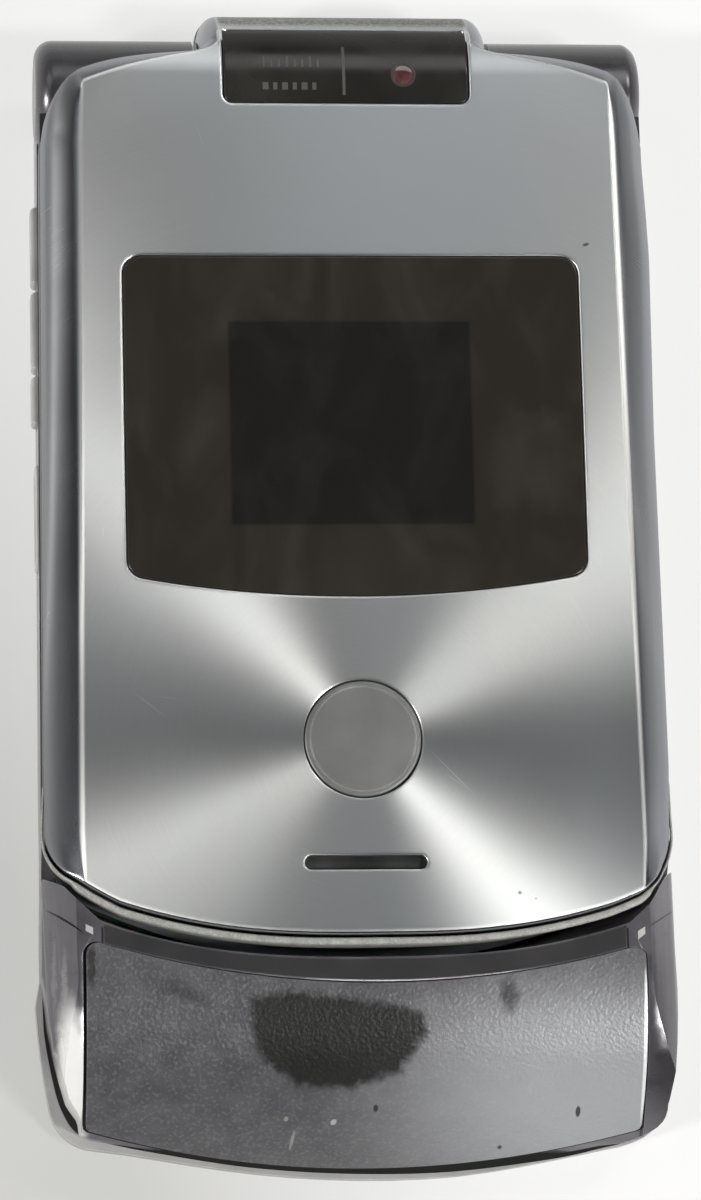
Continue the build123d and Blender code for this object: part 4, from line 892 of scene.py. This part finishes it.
lensRadius = cameraWindow["lensRadius"]
lensPiece("cameraRing", [
    (lensRadius + .22, -.05), (lensRadius + .22, .012), (lensRadius + .16, .022), (lensRadius + .04, .022),
    (lensRadius, .01), (lensRadius * .98, -.02)], made["ringGrey"])
lensPiece("cameraLens", [(lensRadius * .99, -.03)] + [
    (lensRadius * part, .035 * math.sqrt(1 - part**2) - .005) for part in (.98, .9, .75, .55, .35, .12)],
          made["lensGlass"])

# emblem disc: a turned profile (radius, height), nearly flat, with an engraved ring
emblem = {"centre": (0, -14.2), "profile": [
    (4.80, -.50), (4.80, -.16), (4.77, -.09), (4.71, -.045), (4.62, -.02), (4.50, -.01), (4.38, -.008),
    (4.36, -.03), (4.30, -.03), (4.28, -.005), (4.1, .0), (3.4, .012), (2.4, .024), (1.3, .030), (.5, .032)]}


def makeEmblem():
    loops = [np.column_stack([circleLoop(emblem["centre"], radius, 128), np.full(128, lidTop + height)])
             for radius, height in emblem["profile"]]
    return loftPiece("emblemDisc", loops, made["emblemMetal"], (True, True), 30)


finishPiece(makeEmblem(), "lid", "emblem_metal", "emblem_disc")

# speaker mesh under the slot
finishPiece(patternPlate("speakerMesh", lambda grow: openings["slot"]["loop"](grow + .9), -.78, -1.0, .05,
                         made["mesh"]), "lid", "mesh", "speaker_mesh")

# rim that shows beyond the skin's lower end
rimBand = {
    "reach": .78, "cornerReach": .50, "sideReach": .12, "narrowFrom": 23.0, "narrowTo": 23.9,
    "climbFrom": -24.2, "sideEnd": -17.0, "below": .12, "climbBelow": .25, "foot": 11.2, "thick": .60,
    "thin": .22, "roundness": .16,
}


# the skin's lower edge from the middle round the corner and up the side: places, outward directions, heights
def lowerEdge(count=260):
    outer, _, weights = coverLines()
    keep = outer[:, 1] < rimBand["sideEnd"] - hinge["y"]
    edge, weights = np.split(evenly(np.hstack([outer, weights])[keep], count), [2], axis=1)
    edge = edge - toPattern
    along = np.gradient(edge, axis=0)
    outward = np.stack([along[:, 1], -along[:, 0]], 1) / np.linalg.norm(along, axis=1)[:, None]
    return edge, outward, lidTop - weights @ cover["depths"]


# profile across the band: out from under the skin, over a rounded top and down the lid's end;
# beyond the corner it narrows to a bead and sinks under the bevel's edge
def makeRimBand():
    r = rimBand
    edge, outward, edgeZ = lowerEdge()
    narrow = np.clip((edge[:, 0] - r["narrowFrom"]) / (r["narrowTo"] - r["narrowFrom"]), 0, 1)
    narrow = narrow * narrow * (3 - 2 * narrow)
    climb = np.clip((edge[:, 1] - r["climbFrom"]) / (r["sideEnd"] - r["climbFrom"]), 0, 1) * (edge[:, 0] > 20)
    reach = r["reach"] * (1 - narrow) + narrow * (r["cornerReach"] * (1 - climb) + r["sideReach"] * climb)
    width = r["thick"] * (1 - narrow) + r["thin"] * narrow
    top = edgeZ - r["below"] - r["climbBelow"] * climb
    turn = np.radians((180, 165, 140, 115, 90, 65, 40, 15))[:, None]
    out = reach + (np.vstack([[-1], np.cos(turn), [1]]) - 1) * width / 2
    foot = np.full((1, len(edge)), r["foot"])
    z = np.vstack([foot, top - (1 - np.sin(turn)) * np.minimum(width / 2, r["roundness"]), foot])
    rows = np.concatenate([edge + outward * out[..., None], z[..., None]], 2)
    whole = np.concatenate([(rows * (-1, 1, 1))[:, :0:-1], rows], 1)
    faces = gridFaces(*whole.shape[:2])
    piece = meshPiece("lidRimBand", whole.reshape(-1, 3), faces, made["rimBand"], 60, True)
    settle(piece, "lid")
    return piece


finishPiece(makeRimBand(), "lid", "lid_rim")
print("lid pieces made")


# chin: a textured plate over a near-black sheet that is painted shade in the gap round it, and the lip in
# front of it
chin = {
    "bendY": -31.4, "flatZ": 12.7, "centreY": -32.70, "centreZ": -5.32, "radius": 18.069,
    "left": -22.80, "right": 22.95, "seamY": -33.30, "seamRadius": 78.0, "highRadius": 1.1,
    "endY": -48.45, "endMiddle": 1.2, "endRadius": 92.0, "lowRadius": .5, "thick": .30, "rim": .10,
    "bedReach": .24, "bedTop": -.36, "bedBottom": -.75, "lipY": -32.0, "lipRadius": 53.0, "lipHalf": 21.36,
    "lipGap": .14, "lipCorner": .06,
}


# the surface runs level to the bend, then down a circle; a height lifts a place along the circle's radius
def chinWrap(x, y, height):
    sine = np.clip((y - chin["centreY"]) / chin["radius"], -1, 1)
    reach = chin["radius"] + height
    past = y < chin["bendY"]
    wrappedY = np.where(past, chin["centreY"] + reach * sine, y)
    wrappedZ = np.where(past, chin["centreZ"] + reach * np.sqrt(1 - sine**2), chin["flatZ"] + height)
    return np.stack(np.broadcast_arrays(x, wrappedY, wrappedZ), -1)


# an outline between two arcs and two sides, its four corners rounded, grown outwards by an amount
def arcedLoop(left, right, low, high, lowRadius, highRadius, grow, count=360):
    def corner(x, side, arc, radius, up, turn):
        middleX = x - side * radius
        return arcPoints((middleX, arcY(middleX, *arc) - up * radius), radius + grow, turn, turn + 90, 8)
    x = np.linspace(right - highRadius, left + highRadius, 90)[1:-1]
    upper = np.column_stack([x, arcY(x, *high) + grow])
    x = np.linspace(left + lowRadius, right - lowRadius, 90)[1:-1]
    lower = np.column_stack([x, arcY(x, *low) - grow])
    loop = np.vstack([
        corner(right, 1, high, highRadius, 1, 0), upper, corner(left, -1, high, highRadius, 1, 90),
        corner(left, -1, low, lowRadius, -1, 180), lower, corner(right, 1, low, lowRadius, -1, 270)])
    return evenLoop(loop, count)


# the chin plate's outline; a reach widens it, most of all past the end
def chinLoop(grow, reach=0.0):
    c = chin
    low = (c["endY"] - 1.2 * reach, c["endRadius"], c["endMiddle"])
    high = (c["seamY"] + reach, c["seamRadius"])
    return arcedLoop(c["left"] - reach, c["right"] + reach, low, high, c["lowRadius"], c["highRadius"], grow)


# the lip, from a gap behind the seam's arc to an arc under the lid's end
def lipLoop(grow):
    c = chin
    low, high = (c["seamY"] + c["lipGap"], c["seamRadius"]), (c["lipY"], c["lipRadius"])
    return arcedLoop(-c["lipHalf"], c["lipHalf"], low, high, c["lipCorner"], c["lipCorner"], grow, 300)


# an outline carried straight up from one height to another
def prism(name, outline, low, high, material):
    loops = [np.column_stack([outline, np.full(len(outline), z)]) for z in (low, high)]
    return loftPiece(name, loops, material)


chinRolls = patternRows(22.9, -48.8, -31.0, .9, .35)
lipRolls = patternRows(21.3, -33.4, -27.0, .9, .3)
chinPlate = patternPlate("chinPlate", chinLoop, 0.0, -chin["thick"], chin["rim"], made["chinPaint"],
                         chinRolls, chinWrap)
# painted shade: a near-black sheet under the plate's gap, so that the gap reads black
chinBed = patternPlate("chinBed", lambda grow: chinLoop(grow, chin["bedReach"]), chin["bedTop"],
                       chin["bedBottom"], .02, made["gapBlack"], chinRolls, chinWrap)
chinLip = patternPlate("chinLip", lipLoop, .03, -.12, .03, made["lipPaint"], lipRolls, chinWrap)
for piece in (chinPlate, chinBed, chinLip):
    reshape(piece, sagged)
finishPiece(chinPlate, "base", "chin_paint", "chin_cover")
finishPiece(chinBed, "base", "rubber")
finishPiece(chinLip, "base", "body_metal")

# short black seams at the lip's ends, and a small bright tab beyond each: left, low, right, high, top
lipEnds = [
    ("lipSeamLeft", (-21.53, -30.3, -21.39, -27.8), 12.725, "gapBlack", "rubber"),
    ("lipTabLeft", (-22.8, -28.9, -22.2, -28.1), 12.72, "tabLight", "body_metal"),
    ("lipSeamRight", (21.39, -30.25, 21.53, -27.75), 12.725, "gapBlack", "rubber"),
    ("lipTabRight", (22.3, -28.7, 22.9, -27.9), 12.72, "tabLight", "body_metal"),
]
for name, (left, low, right, high), top, finish, slot in lipEnds:
    piece = prism(name, [(left, low), (right, low), (right, high), (left, high)], 12.5, top, made[finish])
    reshape(piece, sagged)
    finishPiece(piece, "base", slot)

# black gasket in the split between the upper shell and the rear housing, round the chin's corner and its end
gasket = [(-25.98, -33.6), (-25.92, -35.5), (-25.80, -37.3), (-25.22, -40.6), (-24.52, -43.1), (-23.3, -45.0),
          (-21.3, -45.75), (-17.3, -46.66), (-9.1, -48.07), (-.9, -48.73), (7.4, -48.73), (15.6, -47.88),
          (20.0, -47.05), (23.5, -46.1), (25.2, -44.4), (25.7, -42.0), (25.9, -38.0), (25.9, -33.6)]
gasketLoop = np.vstack([smoothCurve(gasket, 160), linePoints(gasket[-1], gasket[0], 40)[1:-1]])
finishPiece(prism("splitGasket", gasketLoop, 2.41, 2.455, made["gapBlack"]), "base", "rubber")
print("chin made")


# a solid again, with its sharp edges broken by a small round
def roundedCopy(name, width, sharp=30, segments=2):
    body = nodes[name]["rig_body"]
    mesh = nodes[name].data.copy()
    mesh.name = name + "Rounded"
    work = bmesh.new()
    work.from_mesh(mesh)
    bmesh.ops.remove_doubles(work, verts=work.verts, dist=.003 * mm)
    bmesh.ops.dissolve_limit(work, angle_limit=math.radians(.6), verts=work.verts, edges=work.edges)
    work.to_mesh(mesh)
    work.free()
    mesh.shade_smooth()
    mesh.set_sharp_from_angle(angle=math.radians(sharp))
    piece = bpy.data.objects.new(name + "Rounded", mesh)
    bpy.context.scene.collection.objects.link(piece)
    settle(piece, "lid" if body == "lid" else "base", name in ("voice_key", "side_switches"))
    bevel = piece.modifiers.new("softEdges", "BEVEL")
    bevel.limit_method = "ANGLE"
    bevel.angle_limit = math.radians(sharp)
    bevel.width = width * mm
    bevel.segments = segments
    bevel.harden_normals = True
    paint(piece, finishOf(name))
    finishPiece(piece, body, slotOf[name], name)


roundWidths = {
    "base_frame": .14, "rear_housing": .12, "lid_frame": .10, "hinge_barrel": .12, "lid_inner_cover": .10,
    "keypad_plate": .05, "battery_cover": .12, "cover_latch": .12, "usb_socket": .05, "volume_up_key": .10,
    "volume_down_key": .10, "smart_key": .10, "voice_key": .10, "side_switches": .03,
}
for name, width in roundWidths.items():
    roundedCopy(name, width)


# a frame round an opening's mouth: a rounded rectangle that grows and moves along one axis, ring by ring
def mouthFrame(name, node, axis, radius, count, profile, material):
    points = placesOf(nodes[node].data)
    low, high = points.min(0), points.max(0)
    sides = [np.delete(corner, axis) for corner in (low, high)]
    rings = [np.insert(boxLoop(*sides, radius, grow, count), axis, low[axis] + depth, 1)
             for grow, depth in profile]
    return loftPiece(name, rings, material, (False, False))


# the socket's frame stands a little out of the left wall
socketProfile = [(-.2, .1), (-.2, -.32), (-.1, -.42), (.42, -.42), (.55, -.30), (.55, .1), (-.2, .1)]
socketFrame = mouthFrame("socketFrame", "usb_socket", 0, .5, 6, socketProfile, made["tabLight"])
finishPiece(socketFrame, "base", "socket_steel")
print("rounded pieces made")

# keys with softened edges, and what is printed on them
keyNames = ["key_" + word for word in "one two three four five six seven eight nine star zero hash".split()]
plainKeys = ["left_soft_key", "right_soft_key", "send_key", "end_key", "clear_key", "nav_ring", "select_key"]
for name in keyNames + plainKeys:
    roundedCopy(name, .07)


# the middle of a key's top in millimetres
def topOf(name):
    points = placesOf(nodes[name].data)
    return (points.min(0) + points.max(0)) / 2 * (1, 1, 0) + points.max(0) * (0, 0, 1)


# a flat print that stands a hair over the key, from closed outlines round the key's middle
def printOn(key, outlines, material):
    middle = topOf(key)
    points, faces, start = [], [], 0
    for outline in outlines:
        count = len(outline)
        for height in (-.05, .012):
            points.append(np.column_stack([np.asarray(outline, float), np.full(count, height)]) + middle)
        faces += gridFaces(2, count, True, start).tolist()
        faces += [list(range(start, start + count))[::-1], list(range(start + count, start + 2 * count))]
        start += 2 * count
    piece = meshPiece(key + "Print", np.vstack(points), faces, material, 30)
    finishPiece(piece, nodes[key]["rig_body"], slotOf[key])


# a number made from Blender's own letters, turned into a mesh round the key's middle
def numberOn(key, sign, size):
    curve = bpy.data.curves.new(key + "Number", "FONT")
    curve.body, curve.size, curve.extrude = sign, size * mm, .012 * mm
    curve.align_x, curve.align_y = "CENTER", "CENTER"
    letters = bpy.data.objects.new(key + "Letters", curve)
    bpy.context.scene.collection.objects.link(letters)
    bpy.context.view_layer.update()
    mesh = bpy.data.meshes.new_from_object(letters.evaluated_get(bpy.context.evaluated_depsgraph_get()))
    bpy.data.objects.remove(letters)
    faces = [list(face.vertices) for face in mesh.polygons]
    piece = meshPiece(key + "Print", placesOf(mesh) + topOf(key), faces, made["keyPrint"], 30)
    finishPiece(piece, nodes[key]["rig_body"], slotOf[key])


# places times this are turned anticlockwise
def turnedBy(degrees):
    cos, sin = math.cos(math.radians(degrees)), math.sin(math.radians(degrees))
    return np.array([[cos, sin], [-sin, cos]])


# a bent bar with thick ends: two arcs, closed
def handsetOutline(turn):
    outer = arcPoints((0, -1.2), 2.3, 30, 150, 16)
    inner = arcPoints((0, -1.2), 1.55, 140, 40, 12)
    outline = np.vstack([outer, [(-1.95, -.55), (-1.05, -.30)], inner, [(1.05, -.30), (1.95, -.55)]])
    return outline @ turnedBy(turn)


for key, sign in zip(keyNames, "123456789*0#"):
    numberOn(key, sign, 4.0)
printOn("send_key", [handsetOutline(35)], made["callGreen"])
printOn("end_key", [handsetOutline(0)], made["callRed"])
printOn("clear_key", [[(-1.3, 0), (0, -1.0), (0, 1.0)], [(.1, -.28), (1.4, -.28), (1.4, .28), (.1, .28)]],
        made["keyPrint"])
for key in ("left_soft_key", "right_soft_key"):
    printOn(key, [[(-1.6, -.16), (1.6, -.16), (1.6, .16), (-1.6, .16)]], made["keyPrint"])
arrow = np.array([(-.75, 6.1), (.75, 6.1), (0, 7.0)])
printOn("nav_ring", [arrow @ turnedBy(turn) for turn in (0, 90, 180, 270)], made["keyPrint"])
printOn("select_key", [circleLoop((0, 0), .7, 32)], made["keyPrint"])


# a thin bright frame round the inner window, on the lid's underside
bezelProfile = [(.05, .08), (.05, -.05), (.12, -.09), (.45, -.09), (.55, -.03), (.55, .08), (.05, .08)]
bezel = mouthFrame("innerBezel", "inner_window", 2, 1.0, 8, bezelProfile, made["bezelChrome"])
finishPiece(bezel, "lid", "inner_metal")
print("keys printed")

# floor, lights and camera
studio = {
    # the floor's darker colour is a painted shadow that grows from the first place towards the second
    "floorColour": (.955, .955, .95), "floorDusk": (.63, .63, .615), "duskFrom": (25, 45),
    "duskTo": (-45, -60), "floorHalf": 2.0, "floorLow": -.03, "glow": .72,
    "worldLow": (.50, .50, .49), "worldHigh": (.020, .022, .028), "worldStrength": 1.0, "lampDistance": 1.3,
    "lamps": [   # name, azimuth, elevation, side in metres, watts, colour
        ("keyLamp", 329, 53, .17, 8.6, (1, .99, .96)), ("westLamp", 198, 38, .14, 10.2, (1, .985, .95)),
        ("eastLamp", 44, 49, .24, 3.0, (1, .985, .95)), ("backLamp", 76, 50, .45, 1.3, (.97, .98, 1)),
        ("hazeLamp", 139, 55, .52, .85, (.97, .98, 1))],
}


# the camera looks at a point from a distance, leaning by two angles, then rolls about its line of sight
def cameraPlace(view):
    lean, side, roll = view["lean"], view["side"], view["roll"]
    away = Vector((-math.sin(side), -math.sin(lean) * math.cos(side), math.cos(lean) * math.cos(side)))
    right = Vector((0, 1, 0)).cross(away).normalized()
    up = away.cross(right)
    turnedRight = math.cos(roll) * right + math.sin(roll) * up
    turnedUp = math.cos(roll) * up - math.sin(roll) * right
    place = Matrix((turnedRight, turnedUp, away)).transposed().to_4x4()
    place.translation = (Vector(view["look"]) + view["distance"] * away) * mm
    return place


view = {"look": (-.3367, -1.9349, 10.0), "distance": 392.84, "lean": .1895, "side": .1049, "roll": -.0253,
        "lens": 142.19}
cameraData = bpy.data.cameras.new("camera")
cameraData.lens = view["lens"]
cameraData.sensor_width = 36
cameraData.clip_start = 0.01
camera = bpy.data.objects.new("camera", cameraData)
camera.matrix_world = cameraPlace(view)
bpy.context.scene.collection.objects.link(camera)
bpy.context.scene.camera = camera

for name, azimuth, elevation, size, watts, colour in studio["lamps"]:
    data = bpy.data.lights.new(name, "AREA")
    data.shape = "RECTANGLE"
    data.size = data.size_y = size
    data.energy = watts
    data.color = colour
    turn, rise = math.radians(azimuth), math.radians(elevation)
    away = Vector((math.cos(rise) * math.cos(turn), math.cos(rise) * math.sin(turn), math.sin(rise)))
    lamp = bpy.data.objects.new(name, data)
    lamp.location = away * studio["lampDistance"]
    lamp.rotation_euler = away.to_track_quat("Z", "Y").to_euler()
    bpy.context.scene.collection.objects.link(lamp)

world = bpy.data.worlds.new("studioWorld")
world.use_nodes = True
bpy.context.scene.world = world
tree = world.node_tree
direction = addNode(tree, "TexCoord").outputs["Generated"]
rise = addNode(tree, "SeparateXYZ", {0: direction}).outputs["Z"]
sky = mixed(tree, ranged(tree, rise, .20, .56, smooth=True), studio["worldLow"], studio["worldHigh"])
tree.links.new(sky, tree.nodes["Background"].inputs["Color"])
tree.nodes["Background"].inputs["Strength"].default_value = studio["worldStrength"]

floorMesh = bpy.data.meshes.new("floor")
half = studio["floorHalf"]
low = studio["floorLow"] * mm
floorCorners = [(-half, -half, low), (half, -half, low), (half, half, low), (-half, half, low)]
floorMesh.from_pydata(floorCorners, [], [(0, 1, 2, 3)])
floor = bpy.data.objects.new("floor", floorMesh)
bpy.context.scene.collection.objects.link(floor)
material, tree, shader, place = newMaterial("floorPaper")
parts = addNode(tree, "SeparateXYZ", {0: place}).outputs
# painted shadow: the paper darkens towards the lower left
(lightX, lightY), (shadowX, shadowY) = studio["duskFrom"], studio["duskTo"]
across = ranged(tree, parts["X"], shadowX * mm, lightX * mm, 1, 0, True)
along = ranged(tree, parts["Y"], shadowY * mm, lightY * mm, 1.5, .28, True)
paintedShadow = maths(tree, "MINIMUM", times(tree, across, along), 1.0)
paperWithShadow = mixed(tree, paintedShadow, studio["floorColour"], studio["floorDusk"])
tree.links.new(paperWithShadow, shader.inputs["Base Color"])
shader.inputs["Roughness"].default_value = .9
ray = addNode(tree, "LightPath").outputs
seen = maths(tree, "MAXIMUM", ray["Is Glossy Ray"], ray["Is Transmission Ray"])
seen = maths(tree, "MAXIMUM", ray["Is Camera Ray"], seen)
glow = addNode(tree, "Emission", {"Color": paperWithShadow, "Strength": 1.0}).outputs[0]
both = addNode(tree, "MixShader", {0: times(tree, seen, studio["glow"]), 1: shader.outputs[0], 2: glow})
tree.links.new(both.outputs[0], tree.nodes["Material Output"].inputs["Surface"])
paint(floor, material)
bpy.context.scene.view_settings.view_transform = "Standard"
print("floor, lamps and camera placed")
